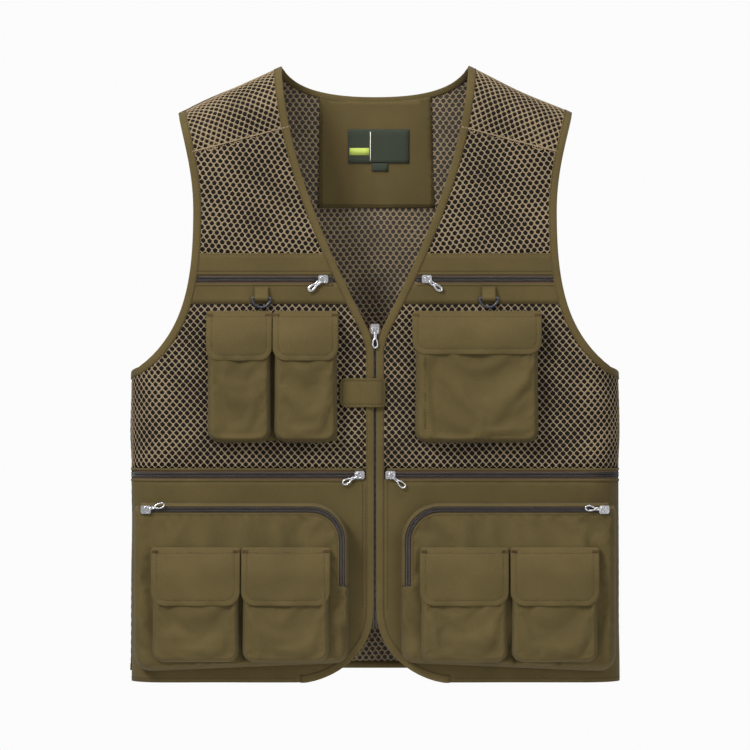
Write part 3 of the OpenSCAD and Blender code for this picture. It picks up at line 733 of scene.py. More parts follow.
def build_yoke_and_upper_mesh(side):
    s = SIDES[side]
    lap = 0.0015
    above = [[p for p in edge if p[1] > yoke_z(p[0]) - lap] for edge in (UNDER_ARM, UNDER_EDGE)]
    below = [[p for p in edge if yoke_z(p[0]) + lap > p[1] > -BAND_TOP - 0.003]
             for edge in (UNDER_ARM, UNDER_EDGE)]
    yoke = above[0] + over_ridge(UNDER_ARM[-1][0], UNDER_EDGE[0][0]) + above[1]
    hang_mesh(f"shoulder_yoke_{side}", side, yoke, cell=YOKE_CELL, turn=-s * SLOPE, out=-0.0003)
    hang_mesh(f"upper_mesh_{side}", side, below[0] + below[1], turn=s * 0.12)
    seam = [(s * x, yoke_z(x)) for x in np.linspace(NECK_HALF - 0.008, SHOULDER_HALF - 0.017, 30)]
    welt = tape(f"yoke_seam_{side}", seam[::s], body(FRONT), MESH, 0.0014, 0.0012, out=0.0001)
    bend(welt, side, slot="mesh")
    top = [(s * x, ridge(x)[1] - 0.0012) for x in np.linspace(NECK_HALF + 0.002, SHOULDER_HALF - 0.002, 30)]
    join = tape(f"shoulder_seam_{side}", top[::-s], body(BACK), MESH, 0.0024, 0.0012, out=-0.0002, back=True)
    place(join, "back", slot="mesh")


HEM_W, HEM_STITCH = 0.0077, 0.0062


def build_back():
    neck, arm = ([tuple(p) for p in tucked(path)][::-1] for path in (NECK, ARM))
    half = neck + over_ridge(neck[-1][0], arm[0][0]) + arm
    half += [(SEAM, -UNDERARM - 0.01), (SEAM, -BACK_LEN + 0.005)]
    outline = half + mirrored(half, -1)[::-1]
    mesh = lattice("back_mesh", outline, body(BACK), back=True)
    place(mesh, "back", "back_mesh", slot="mesh")
    # The thin dark grey sheet inside the back mesh is painted shade seen through its holes.
    back_shade_layer = place(painted_shade_layer("back_mesh", outline, body(BACK), PAINTED_BACK_SHADE_SHEET, back=True), "back", slot="mesh")
    low = -BACK_LEN + 0.0003
    hem = cloth("back_hem_cloth", rectangle(-SEAM, SEAM, low, low + HEM_W), body(BACK), CLOTH, step=0.005,
                out=0.0004, thick=0.0016, back=True)
    place(hem, "back", "back_hem_band", slot="cloth")
    hung(back_shade_layer, outline, mesh, hem)
    row = [(x, -BACK_LEN + HEM_STITCH) for x in (-SEAM + 0.004, SEAM - 0.004)]
    stitch("back_hem_stitches", [row], body(BACK), 0.0004, "back")


def build_facing():
    inside_back = body(BACK, calm=True)
    low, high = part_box("neck_facing")
    x0, x1 = low.x, high.x + 0.004
    under_binding = beside(resample([p for p in NECK if p[0] < x1 - 0.001], 0.003), 0.005)
    top = [tuple(p) for p in under_binding if p[0] < x1 - 0.001]
    outline = [(x0, low.z), (x1, low.z)] + top + [(-x, z) for x, z in top[::-1]]
    patch = cloth("neck_facing_cloth", outline, inside_back, CLOTH, step=0.005, out=-0.0014, thick=0.0009,
                  back=True)
    place(patch, "back", "neck_facing", slot="cloth")
    hung(patch, outline)
    inset = 0.0035
    left, right, bottom, end = x0 + inset, x1 - inset, low.z + inset, top[0][1] - 0.02
    rows = [[(left, end), (left, bottom)], [(left, bottom), (right, bottom)], [(right, bottom), (right, end)]]
    stitch("neck_facing_stitches", rows, inside_back, -0.0027, "back")


LABEL_T, LABEL_INSET = 0.0006, 0.0022
LINE_SHARE, LINE_W = 0.36, 0.0007           # the pale line: its place across the label, and its width


def build_label():
    """A plain label with a lime stripe and a pale line, and the blank size tab under it."""
    inside_back = body(BACK, calm=True)
    low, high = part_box("neck_label")
    tab_low, tab_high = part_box("size_tab")
    out = low.y - SIDE_R
    shown = out - LABEL_T
    line_x = low.x + LINE_SHARE * (high.x - low.x)
    patches = (
        ("label_patch", (low.x, high.x, low.z, high.z), LABEL, 0.004, ["neck_label"]),
        ("label_stripe", (low.x + 0.0015, line_x - 0.001, low.z + 0.009, low.z + 0.017), LIME, 0.006, []),
        ("label_line", (line_x, line_x + LINE_W, low.z + 0.003, high.z - 0.003), WHITE, 0.006, []),
        ("size_tab_patch", (tab_low.x, tab_high.x, tab_low.z, tab_high.z + 0.001), LABEL, 0.003,
         ["size_tab"]))
    for name, sides, material, step, nodes in patches:
        height, thick = (out, LABEL_T) if nodes else (shown, 0.0002)
        patch = cloth(name, rectangle(*sides), inside_back, material, step, height, thick, back=True)
        place(patch, "back", *nodes, slot="label")
    m = LABEL_INSET
    corners = rectangle(low.x + m, high.x - m, low.z + m, high.z - m)
    rows = [[a, b] for a, b in zip(corners, corners[1:] + corners[:1])]
    stitches = thread("label_stitches", rows, inside_back, PALE_THREAD, shown - 0.0004, length=0.0016,
                      gap=0.0012, width=0.0005)
    place(stitches, "back", slot="label")


def panel_outline(low, high):
    """Outline, on the left side, of the front between two depths below the neck points."""
    inner = [p for p in UNDER_EDGE if low <= -p[1] <= high]
    outer = [p for p in UNDER_ARM if low <= -p[1] <= high]
    outline = inner
    if -inner[-1][1] < high - 0.0005:
        outline = outline + [(inner[-1][0], -high)]
    if high > UNDERARM:
        outline = outline + [(SEAM, -high), (SEAM, -max(low, UNDERARM + 0.004))]
    return outline + outer


def cloth_panel(name, side, low, high, *node):
    """A cloth panel of a front between two depths."""
    outline = panel_outline(low, high)
    panel = cloth(name, on_side(outline, side), body(FRONT), CLOTH)
    place(panel, "front_" + side, *node, slot="cloth")
    hung(panel, outline)


ROW_IN = 0.0018                             # from the slot of a zip to the row of stitches beside it


def build_front_panels(side):
    rider = "front_" + side
    half = ZIP_SLOT / 2
    cloth_panel(f"chest_band_top_{side}", side, BAND_TOP, CHEST_ZIP - half, f"chest_band_{side}")
    cloth_panel(f"chest_band_low_{side}", side, CHEST_ZIP + half, BAND_BOTTOM)
    outline = on_side(panel_outline(BAND_BOTTOM - 0.004, WAIST_ZIP - half - 0.0026), side)
    belly = lattice(f"belly_mesh_{side}", outline, body(FRONT), WIDE_CELL)
    place(belly, rider, f"belly_mesh_{side}", slot="mesh")
    # The thin dark sheet inside the belly mesh is painted shade seen through its holes.
    hung(place(painted_shade_layer(f"belly_mesh_{side}", outline, body(FRONT)), rider, slot="mesh"), outline, belly)
    cloth_panel(f"waist_cloth_{side}", side, WAIST_ZIP + half, FRONT_LEN - 0.0005, f"waist_panel_{side}")
    band_end, seam_end = 0.196, SEAM - 0.002
    rows = [[(SIDES[side] * x, -depth) for x in ends] for depth, *ends in (
        (BAND_TOP + 0.002, 0.062, band_end), (CHEST_ZIP - half - ROW_IN, 0.046, band_end),
        (CHEST_ZIP + half + ROW_IN, 0.046, band_end), (BAND_BOTTOM - 0.0022, 0.028, band_end + 0.008),
        (WAIST_ZIP + half + ROW_IN, 0.012, seam_end), (FRONT_LEN - 0.0045, 0.088, seam_end))]
    stitch(f"panel_stitches_{side}", rows, body(FRONT), 0.0, rider)


def binding(name, path, surface, width=BINDING_W, back=False):
    """A folded strip over an edge."""
    return tape(name, path, surface, BINDING, width, 0.0024, out=-0.0005, back=back)


def build_bindings(side):
    edge, arm = on_side(EDGE, side), on_side(ARM, side)
    front = binding(f"front_edge_binding_{side}", edge, body(FRONT))
    bend(front, side, f"front_bindings_{side}", "neck_binding", slot="binding")
    bend(binding(f"armhole_binding_front_{side}", arm, body(FRONT)), side, slot="binding")
    behind = binding(f"armhole_binding_back_{side}", arm, body(BACK), back=True)
    place(behind, "back", "back_armhole_bindings", slot="binding")
    edge_row, arm_row = (beside(resample(path, 0.003), BINDING_W - 0.0013) for path in (edge, arm))
    for label, row in (("front_edge", edge_row), ("armhole_front", arm_row)):
        stitches = thread(f"{label}_stitches_{side}", [row], body(FRONT), THREAD, 0.0007)
        bend(stitches, side, slot="binding")
    stitch(f"armhole_back_stitches_{side}", [arm_row], body(BACK), 0.0007, "back", slot="binding")


def build_neck_binding():
    path = NECK + [(-x, z) for x, z in NECK[::-1][1:]]
    neck = binding("back_neck_binding", path, body(BACK), width=0.0075, back=True)
    place(neck, "back", slot="binding")
    row = beside(resample(path, 0.003), 0.0062)
    for label, out in (("outer", 0.0007), ("inner", -0.0019)):
        stitch(f"back_neck_stitches_{label}", [row], body(BACK), out, "back", slot="binding")


for side in SIDES:
    build_yoke_and_upper_mesh(side)
    build_front_panels(side)
    build_bindings(side)
build_back()
build_facing()
build_label()
build_neck_binding()

# ---------- soft pieces with thickness, rounded rims and sewn lines ----------


def fine(path, closed=False):
    """A path at steps under a millimetre, for measuring distances from it."""
    return resample(list(path) + ([path[0]] if closed else []), 0.0008)


def rounded(corners, radii, n=7):
    """A closed outline with each corner turned on its own radius."""
    points = []
    count = len(corners)
    for i, (corner, radius) in enumerate(zip(corners, radii)):
        here = np.array(corner, float)
        back = np.array(corners[i - 1], float) - here
        ahead = np.array(corners[(i + 1) % count], float) - here
        if radius == 0:
            points.append(tuple(here))
            continue
        start = here + back / np.linalg.norm(back) * radius
        end = here + ahead / np.linalg.norm(ahead) * radius
        points += bezier(start, here + (start - here) * 0.45, here + (end - here) * 0.45, end, n)
    return points


RIM_R, SEAM_DEPTH = 0.0012, 0.0005


def soft(name, outline, surface, material, step, seams=(), pucker=0.0, out=0.0, thick=0.0018):
    """A stitched piece: thick cloth whose rim is turned over, sunk a little along each seam line."""
    rings = [0.0004, 0.0013]
    for seam in seams:
        rings += [seam - 0.0012, seam, seam + 0.0012, seam + 0.0035]
    flat, faces = triangulate(outline, step, sorted(rings))
    gap = distance_to(flat, fine(outline, True))
    curl = 1 - np.clip(gap / RIM_R, 0, 1)
    ease = thick / 2 * (1 - np.sqrt(np.maximum(1 - curl ** 2, 0)))
    sunk = sum(SEAM_DEPTH * np.exp(-((gap - seam) / 0.0011) ** 2) for seam in seams)
    u, v = flat.T
    half_seam = min(seams, default=0.006) * 0.6
    waves = pucker * np.sin(u * 530 + v * 470) * np.exp(-((gap - half_seam) / half_seam) ** 2)
    outer = surface(u, v, out - ease - sunk + waves)
    inner = surface(u, v, out - thick + ease + waves)
    return add_object(name, np.concatenate([outer, inner]), shell_faces(faces, len(flat)), material)


def quarter(distance, radius):
    """Height, 0 to 1, of a rounded-over edge at a distance in from it."""
    k = 1 - np.clip(distance / radius, 0, 1)
    return np.sqrt(np.maximum(1 - k ** 2.2, 0))


def creases(u, v, folds):
    """Soft ridges (height > 0) and valleys along short lines (x0, z0, x1, z1, width, height)."""
    total = np.zeros_like(u)
    for x0, z0, x1, z1, width, height in folds:
        dx, dz = x1 - x0, z1 - z0
        length = math.hypot(dx, dz)
        along = ((u - x0) * dx + (v - z0) * dz) / length ** 2
        across = ((u - x0) * dz - (v - z0) * dx) / length
        fade = np.clip(1 - ((along - 0.5) / 0.62) ** 2, 0, 1) ** 1.5
        total = total + height * fade * np.exp(-(across / width) ** 2)
    return total


def rumple(u, v, seed, size):
    """Small uneven hills from noise, the same on every run."""
    points = zip(u.ravel() / size, v.ravel() / size)
    values = [noise.noise(Vector((a, b, seed))) for a, b in points]
    return np.array(values).reshape(u.shape)


def wrinkles(u, v, seed):
    """Broad hollows, with sharper creases that run where the noise turns over."""
    broad = rumple(u, v, seed, 0.030)
    bent = rumple(u + 0.012 * broad, v * 0.6, seed + 7, 0.020)
    crease = 1 - np.clip(np.abs(bent) / 0.16, 0, 1)
    return broad + 0.55 * bent - 0.55 * crease ** 2 * np.clip(rumple(u, v, seed + 3, 0.05) + 0.2, 0, 1)


def without(closed, left_out):
    """A closed path opened where points are left out, starting after the last of them."""
    start = np.flatnonzero(left_out)[-1] + 1
    turned = np.roll(closed[:-1], -start, axis=0)
    keep = ~np.roll(left_out[:-1], -start)
    return turned[keep]


BAGS = {}                                   # the pockets by name, for the patches on them
HELD, CAP = 0.004, 0.0045                   # sewn margin of a pocket, and how far its cloth may move
BAG_RINGS = (0.0003, 0.0008, 0.0016, 0.0027, 0.0042, 0.0062, 0.009)
CRISP_R = 0.0028
ROUGH, ROUGH_CARGO = 0.0013, 0.0012         # size of the wrinkles
LIP, FALL = 0.0062, 0.032                   # height of a pocket's mouth, and how fast it swells below


class Bag:
    """A soft pocket standing out from a face: its height over the face at each place."""

    def __init__(self, outline, base, depth, edge_r, folds, seed, mouth=None, flap_low=None, crisp=None):
        self.outline, self.base, self.depth, self.edge_r = outline, base, depth, edge_r
        self.folds, self.seed = folds, seed
        self.mouth, self.flap_low = mouth, flap_low     # heights of its open top and of its flap's edge
        self.crisp = crisp                              # the part of its outline with a tight edge
        self.edge = fine(outline, True)

    def height(self, u, v):
        points = np.stack([np.ravel(u), np.ravel(v)], -1)
        sides = self.edge
        if self.mouth is not None:
            sides = without(sides, sides[:, 1] >= sides[:, 1].max() - 0.0006)
        gap = distance_to(points, sides).reshape(np.shape(u))
        rise = quarter(gap, self.edge_r)
        if self.crisp is not None:
            near = distance_to(points, fine(self.crisp)).reshape(np.shape(u))
            far = distance_to(points, self.soft_edge()).reshape(np.shape(u))
            rise = np.minimum(quarter(near, CRISP_R), quarter(far, self.edge_r))
        if self.mouth is not None:
            k = np.clip((self.mouth - v) / FALL, 0, 1)
            lip = LIP / self.depth
            rise = rise * (lip + (1 - lip) * (k * k * (3 - 2 * k)) ** 0.8)
        rough = ROUGH if self.crisp is None else ROUGH_CARGO
        relief = creases(u, v, self.folds) + rough * wrinkles(u, v, self.seed)
        return self.depth * rise + relief * np.clip(gap / 0.012, 0, 1)

    def soft_edge(self):
        """The part of the outline that isn't crisp."""
        near = distance_to(self.edge, fine(self.crisp)) < 0.0005
        return without(self.edge, near & np.roll(near, 1) & np.roll(near, -1))

    def surface(self):
        return lambda u, v, out: np.stack([u, -(self.base + self.height(u, v) + out), v], axis=-1)

    def build(self, name, step=0.0045, outline=None):
        """The pocket's cloth, or the part of it within another outline."""
        outline = outline or self.outline
        flat, faces = triangulate(outline, step, BAG_RINGS)
        sewn = self.surface()(flat[:, 0], flat[:, 1], np.zeros(len(flat)))
        gap = distance_to(flat, fine(outline, True))
        outer = settle(name, sewn, faces, 1 - np.clip((gap - HELD) / 0.006, 0, 1), CAP)
        if self.flap_low is not None:
            room = CAP * np.clip((self.flap_low - flat[:, 1] - 0.001) / 0.012, 0, 1)
            outer[:, 1] = np.maximum(outer[:, 1], sewn[:, 1] - room)
        outer[:, 1] = np.minimum(outer[:, 1], -self.base - 0.0006)
        BAGS[name] = self
        inner = outer.copy()
        inner[:, 1] = np.minimum(outer[:, 1] + CLOTH_T, -self.base)
        inner[:, 1] = np.maximum(inner[:, 1], outer[:, 1] + 0.0003)
        return add_object(name, np.concatenate([outer, inner]), shell_faces(faces, len(flat)), POCKET_CLOTH)


TACK_STITCHES, TACK_LENGTH = 7, 0.006


def bartack(name, marks, surface, out):
    """Short dense bars of brown thread, level, with their middles at (x, z)."""
    verts, faces = [], []
    for x, z in marks:
        for k in range(TACK_STITCHES):
            middle = x + (k / (TACK_STITCHES - 1) - 0.5) * TACK_LENGTH
            base = len(verts)
            for up, lift in ((-0.0006, -0.0001), (0, 0.0006), (0.0006, -0.0001)):
                verts += [(middle - 0.00028, z + up, out + lift), (middle + 0.00028, z + up, out + lift)]
            faces += [(base, base + 1, base + 3, base + 2), (base + 2, base + 3, base + 5, base + 4)]
            faces += [(base, base + 2, base + 4), (base + 5, base + 3, base + 1)]
    u, v, height = np.array(verts).T
    return add_object(name, surface(u, v, height), faces, BARTACK)


# ---------- zips ----------

ROW_OFFSET = 0.00145                        # from the middle of a zip to the middle of each row of coil


def build_zip(name, path, surface, rider, tape_half=0.0058):
    """Closed zip: woven tape with a coil down its middle."""
    path = np.array(path, float)
    strip = [tuple(p) for p in beside(resample(path, 0.003), tape_half)]
    strip += [tuple(p) for p in beside(resample(path, 0.003), -tape_half)][::-1]
    under = cloth(name + "_tape", outward(strip), surface, TAPE, step=0.004, out=-0.0014, thick=0.0005)
    place(under, rider, name, slot="zip")
    rows = [coil(name + "_row", beside(path, offset), surface, -0.0009, 0.0014)
            for offset in (-ROW_OFFSET, ROW_OFFSET)]
    place(merged(name + "_coil", rows), rider, slot="zip")


def build_level_zip(name, side, depth, x0, x1):
    """A level zip across a front, between the turned edges of the cloth above and below it."""
    rider = "front_" + side
    ends = sorted((SIDES[side] * x0, SIDES[side] * x1))
    build_zip(name, [(x, -depth) for x in np.linspace(*ends, 60)], body(FRONT), rider)
    half = ZIP_SLOT / 2 + 0.0003
    for label, sign in (("top", 1), ("bottom", -1)):
        edge = [(x, -depth + sign * half) for x in np.linspace(*ends, 40)][::sign]
        lip = tape(f"{name}_lip_{label}", edge, body(FRONT), CLOTH, 0.0026, 0.0017, out=-0.0002)
        place(lip, rider, slot="cloth")


def build_main_zip(side):
    s = SIDES[side]
    rider = "front_" + side
    top, bottom = -V_DROP + 0.006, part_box(f"main_zip_{side}")[0].z
    surface = body(FRONT, calm=True)
    strip = [(s * 0.0012, top), (s * 0.0012, bottom), (s * 0.0085, bottom), (s * 0.0085, -V_DROP - 0.006),
             (s * 0.0045, top)]
    under = cloth(f"main_zip_tape_{side}", outward(strip), surface, TAPE, step=0.004, out=-0.0014,
                  thick=0.0005)
    place(under, rider, f"main_zip_{side}", slot="zip")
    row = [(s * 0.0015, z) for z in np.linspace(top, bottom, 80)]
    place(coil(f"main_zip_coil_{side}", row, surface, -0.0010, 0.0013), rider, slot="zip")
    edge_row = [(s * 0.0138, z) for z in np.linspace(-V_DROP - 0.02, -FRONT_LEN + CORNER_RISE, 40)]
    stitch(f"placket_stitches_{side}", [edge_row], body(FRONT), 0.0002, rider)


# ---------- pockets with flaps ----------

CHEST_BASE = SIDE_R + 0.0002
CHEST_DEPTH = -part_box("chest_pocket_left")[0].y - CHEST_BASE
SMALL_BASE = CARGO_FACE + 0.0002
SMALL_DEPTH = -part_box("small_pockets_left")[0].y - SMALL_BASE
SMALL_W = 0.0955

# A kind of pocket: the face it stands on, its depth, top and bottom, its corners and rounded edge,
# and its flap: length, corners, and how far it reaches past the pocket's sides.
Kind = namedtuple("Kind", "base depth top low corner edge_r flap flap_corner overlap")
TWIN = Kind(CHEST_BASE, CHEST_DEPTH, -0.276, -0.416, 0.014, 0.0065, 0.055, 0.014, 0.0009)
WIDE = TWIN._replace(corner=0.012, flap=0.048, overlap=0.003)
SMALL = Kind(SMALL_BASE, SMALL_DEPTH, -0.535, -0.656, 0.013, 0.0055, 0.064, 0.015, 0.0009)


def pocket_outline(x0, x1, kind):
    """Pocket shape: straight mouth, sides that draw in a little, turned bottom corners."""
    waist = 0.001
    middle = (kind.top + kind.low) / 2
    corners = [(x0, kind.top), (x0 + waist, middle), (x0, kind.low),
               (x1, kind.low), (x1 - waist, middle), (x1, kind.top)]
    return rounded(corners, [0, 0.03, kind.corner, kind.corner, 0.03, 0])


def sewn_to(obj, x, base):
    """obj's transform is baked into its mesh."""
    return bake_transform(obj)


FLAP_ABOVE = 0.005                          # from a pocket's mouth up to the sewn edge of its flap
FLAP_FOLD, FLAP_T, FLAP_SEAM = 0.035, 0.0017, 0.0062


def build_flap(node, x0, x1, top, kind, seed):
    """Pocket flap: hangs from its sewn top edge over the pocket's mouth."""
    name = "flap_" + node.replace("flap_", "")
    low = top - kind.flap
    corner = kind.flap_corner
    outline = rounded([(x0, top), (x0, low), (x1, low), (x1, top)], [0.002, corner, corner, 0.002])
    middle, half = (x0 + x1) / 2, (x1 - x0) / 2

    def surface(u, v, out):
        down = np.clip((top - v) / FLAP_FOLD, 0, 1)
        free = np.clip((top - v) / 0.02, 0, 1)
        side = np.abs(u - middle) / half
        ease = 0.0034 + (kind.depth - 0.0012) * np.sin(down * math.pi / 2) ** 0.85
        drape = 0.0034 * side ** 3.2
        curl = 0.0012 * np.clip((low + 0.012 - v) / 0.012, 0, 1) ** 2 * np.cos(8 * side)
        y = kind.base + ease + curl + (0.0010 * wrinkles(u, v, seed) - drape) * free + out
        return np.stack([u, -y, v], axis=-1)

    left, right, bottom = x0 + FLAP_SEAM, x1 - FLAP_SEAM, low + FLAP_SEAM
    inner_r = corner - FLAP_SEAM * 0.6
    rows = [rounded([(left, top - 0.003), (left, bottom), (right, bottom), (right, top - 0.003)],
                    [0, inner_r, inner_r, 0])]
    rows += [[(x0 + 0.002, top - drop), (x1 - 0.002, top - drop)] for drop in (0.0022, 0.0065)]
    marks = [(x, top - drop) for x in (x0 + 0.0042, x1 - 0.0042) for drop in (0.0038, 0.0054)]
    piece = soft(name, outline, surface, POCKET_CLOTH, 0.0045, (FLAP_SEAM,), 0.00022, thick=FLAP_T)
    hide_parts(node)
    stitches = thread(name + "_stitches", rows, surface, THREAD, -0.00042)
    tacks = bartack(name + "_bartacks", marks, surface, 0.0002)
    for obj in (piece, stitches, tacks):
        sewn_to(obj, middle, kind.base)


def build_pocket(name, node, flap_node, x0, x1, kind, folds, seed, flap_seed):
    """A pocket sewn to a front, and the flap over its mouth."""
    top = kind.top + FLAP_ABOVE
    bag = Bag(pocket_outline(x0, x1, kind), kind.base, kind.depth, kind.edge_r, folds, seed,
              mouth=kind.top, flap_low=top - kind.flap)
    place(bag.build(name), "front_right" if x0 < 0 else "front_left", *node, slot="cloth")
    build_flap(flap_node, x0 - kind.overlap, x1 + kind.overlap, top, kind, flap_seed)


TWIN_W, TWIN_PITCH = 0.0705, 0.073
TWIN_FOLDS = {
    "inner": [(-0.048, -0.33, -0.060, -0.40, 0.006, 0.0016),
              (-0.100, -0.35, -0.075, -0.39, 0.007, 0.0013)],
    "outer": [(-0.125, -0.34, -0.140, -0.405, 0.006, 0.0016),
              (-0.175, -0.33, -0.160, -0.395, 0.006, -0.0014)]}


def build_right_chest():
    ground = cloth("chest_pockets_right_ground", rectangle(-0.184, -0.0415, -0.414, -0.274),
                   body(FRONT, calm=True), POCKET_CLOTH, out=0.0006, thick=0.0006)
    place(ground, "front_right", slot="cloth")
    for i, (label, folds) in enumerate(TWIN_FOLDS.items()):
        x1 = -(0.041 + i * TWIN_PITCH)
        build_pocket(f"chest_pocket_right_{label}", [] if i else ["chest_pockets_right"],
                     f"chest_flap_right_{label}", x1 - TWIN_W, x1, TWIN, folds, 1.5 + i * 3, 11.0 + i)


WIDE_IN, WIDE_OUT = 0.044, 0.180
WIDE_FOLDS = [
    (0.060, -0.330, 0.105, -0.400, 0.007, -0.0022), (0.075, -0.325, 0.120, -0.395, 0.006, 0.0020),
    (0.055, -0.34, 0.062, -0.405, 0.004, 0.0018), (0.165, -0.33, 0.150, -0.405, 0.008, 0.0015),
    (0.10, -0.405, 0.17, -0.400, 0.005, 0.0012)]


def build_left_chest():
    build_pocket("chest_pocket_left_bag", ["chest_pocket_left"], "chest_flap_left", WIDE_IN, WIDE_OUT, WIDE,
                 WIDE_FOLDS, 4.5, 14.0)
    row = [(WIDE_IN + 0.011, WIDE.top - 0.01), (WIDE_IN + 0.0108, WIDE.low + 0.014)]
    stitch("chest_pocket_left_pleat", [row], BAGS["chest_pocket_left_bag"].surface(), 0.0002, "front_left")


# ---------- cargo pockets and the small pockets on them ----------

CARGO_IN, CARGO_OUT, CARGO_TOP, CARGO_LOW = 0.029, 0.265, -0.482, -0.658
CARGO_BEND, ZIP_INSET = 0.035, 0.007        # radius of the zip's bend, and its place in from the edge
CARGO_ZIP_START, CARGO_ZIP_END = 0.257, -0.573
CARGO_SAG = 0.010                           # how far the loose lower corner hangs
CARGO_FOLDS = {
    "left": [(0.060, -0.495, 0.10, -0.525, 0.006, 0.0012), (0.235, -0.50, 0.255, -0.62, 0.009, -0.0016),
             (0.19, -0.500, 0.22, -0.520, 0.006, -0.0012)],
    "right": [(-0.060, -0.50, -0.09, -0.522, 0.006, 0.0012), (-0.25, -0.50, -0.245, -0.62, 0.008, -0.0016),
              (-0.13, -0.497, -0.19, -0.520, 0.007, 0.0010)]}


def cargo_zip_path(offset=0.0):
    """Left cargo zip from its outer end, round the bend, to its lower end; offset is outwards."""
    cx, cz = CARGO_IN + ZIP_INSET + CARGO_BEND, CARGO_TOP - ZIP_INSET - CARGO_BEND
    radius = CARGO_BEND + offset
    bend_round = [(cx + radius * math.cos(a), cz + radius * math.sin(a))
                  for a in np.linspace(math.pi / 2, math.pi, 12)]
    return [(CARGO_ZIP_START, cz + radius)] + bend_round + [(cx - radius, CARGO_ZIP_END)]


def build_cargo(side):
    """Cargo pocket: a narrow strip outside its zip, the front inside it, and the zip between them."""
    s = SIDES[side]
    rider = "front_" + side
    base = SIDE_R + 0.0004
    half = ZIP_SLOT / 2 - 0.0012
    rim = cargo_zip_path(ZIP_INSET)
    corners = [(CARGO_IN, CARGO_ZIP_END - 0.01), (CARGO_IN, CARGO_LOW),
               (CARGO_OUT, CARGO_LOW - CARGO_SAG), (CARGO_OUT, CARGO_TOP)]
    low_part = rounded(corners, [0, 0.014, 0.020, 0.008])
    strip = rim + cargo_zip_path(half)[::-1]
    main = (cargo_zip_path(-half) + [(CARGO_IN + ZIP_INSET - half, CARGO_ZIP_END), (CARGO_IN, CARGO_ZIP_END)]
            + low_part + [(CARGO_ZIP_START, CARGO_TOP - ZIP_INSET + half)])
    bag = Bag(on_side(rim + low_part, side), base, CARGO_FACE - base, 0.011, CARGO_FOLDS[side], 20.0 + s,
              crisp=mirrored(rim + [(CARGO_IN, -0.62)], s))
    edge = bag.build(f"cargo_edge_{side}", step=0.004, outline=outward(on_side(strip, side)))
    place(edge, rider, f"cargo_pocket_{side}", slot="cloth")
    front = bag.build(f"cargo_front_{side}", step=0.006, outline=outward(on_side(main, side)))
    place(front, rider, slot="cloth")
    path = resample(mirrored(cargo_zip_path(), s), 0.002)
    build_zip(f"cargo_zip_{side}", path, plane(CARGO_FACE), rider, tape_half=0.0048)
    row = resample(mirrored(cargo_zip_path(-half - 0.0022), s), 0.003)
    stitch(f"cargo_stitches_{side}", [row], bag.surface(), 0.0001, rider)


def build_small(side):
    """The two small pockets on a cargo pocket."""
    s = SIDES[side]
    gap = 0.0035 if side == "left" else 0.003
    for i, label in enumerate(("inner", "outer")):
        start = 0.050 + i * (SMALL_W + gap)
        x0, x1 = sorted((s * start, s * (start + SMALL_W)))
        middle = (x0 + x1) / 2
        folds = [(x0 + 0.010, -0.600, x0 + 0.022, -0.648, 0.005, 0.0014),
                 (x1 - 0.012, -0.598, x1 - 0.020, -0.645, 0.005, 0.0012),
                 (middle - 0.01, -0.64, middle + 0.02, -0.648, 0.004, 0.0012),
                 (x0 + 0.02, -0.606, middle, -0.625, 0.005, -0.0012)]
        build_pocket(f"small_pocket_{side}_{label}", [] if i else [f"small_pockets_{side}"],
                     f"small_flap_{side}_{label}", x0, x1, SMALL, folds, 30.0 + 5 * i + s, 40.0 + 4 * i + s)


# ---------- trim ----------


PATCH_W, PATCH_H = 0.050, 0.012
PATCH_Z = {"chest_pocket_right": -0.317, "chest_pocket_left": -0.312, "small_pocket": -0.584}


def build_hook_patches(side):
    """The fastening patches on the pockets, under the flaps."""
    pieces = []
    for start, z in PATCH_Z.items():
        for bag in [BAGS[name] for name in BAGS if name.startswith(start) and side in name]:
            x = (bag.edge[:, 0].min() + bag.edge[:, 0].max()) / 2
            corners = rectangle(x - PATCH_W / 2, x + PATCH_W / 2, z - PATCH_H / 2, z + PATCH_H / 2)
            outline = rounded(corners, [0.002] * 4, 3)
            pieces.append(soft("hook_patch", outline, bag.surface(), HOOK, 0.004, out=0.0004, thick=0.0010))
    patches = merged(f"hook_patches_{side}", pieces)
    place(patches, "front_" + side, f"closure_patches_{side}", slot="hook_tape")


BAR_Y, BAR_Z = -0.0432, -0.257              # the straight bar of a ring
LOOP_R, WEBBING_T = 0.0026, 0.0009


def build_ring_loop(side):
    """Webbing sewn to the front and folded round the bar of the ring."""
    low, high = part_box(f"ring_loop_{side}")
    rider = "front_" + side
    x, half = (low.x + high.x) / 2, (high.x - low.x) / 2
    fold = [(BAR_Y + LOOP_R * math.cos(a), BAR_Z + LOOP_R * math.sin(a))
            for a in np.linspace(math.pi * 0.72, math.pi * 1.75, 14)]
    line = resample([(-SIDE_R - 0.0008, high.z)] + fold + [(-SIDE_R - 0.0003, high.z - 0.004)], 0.0008)
    across = np.linspace(-half, half, 9)
    layers = (line, line - sideways(line) * WEBBING_T)
    verts = [(x + a, y, z) for layer in layers for y, z in layer for a in across]
    m = len(across)
    count = len(line) * m
    starts = range(0, count - m, m)
    outer = [(k + m, k + m + 1, k + 1, k) for i in starts for k in range(i, i + m - 1)]
    inner = [tuple(k + count for k in quad[::-1]) for quad in outer]
    edges = [(k, k + m, k + m + count, k + count) for i in starts for k in (i, i + m - 1)]
    tape_loop = add_object(f"ring_loop_tape_{side}", verts, outer + inner + edges, BINDING)
    place(tape_loop, rider, f"ring_loop_{side}", slot="binding")
    reach = half - 0.002
    rows = [[(x - reach, high.z - drop), (x + reach, high.z - drop)] for drop in (0.0012, 0.0075)]
    stitch(f"ring_loop_stitches_{side}", rows, plane(SIDE_R + 0.0022), 0.0, rider, slot="binding")


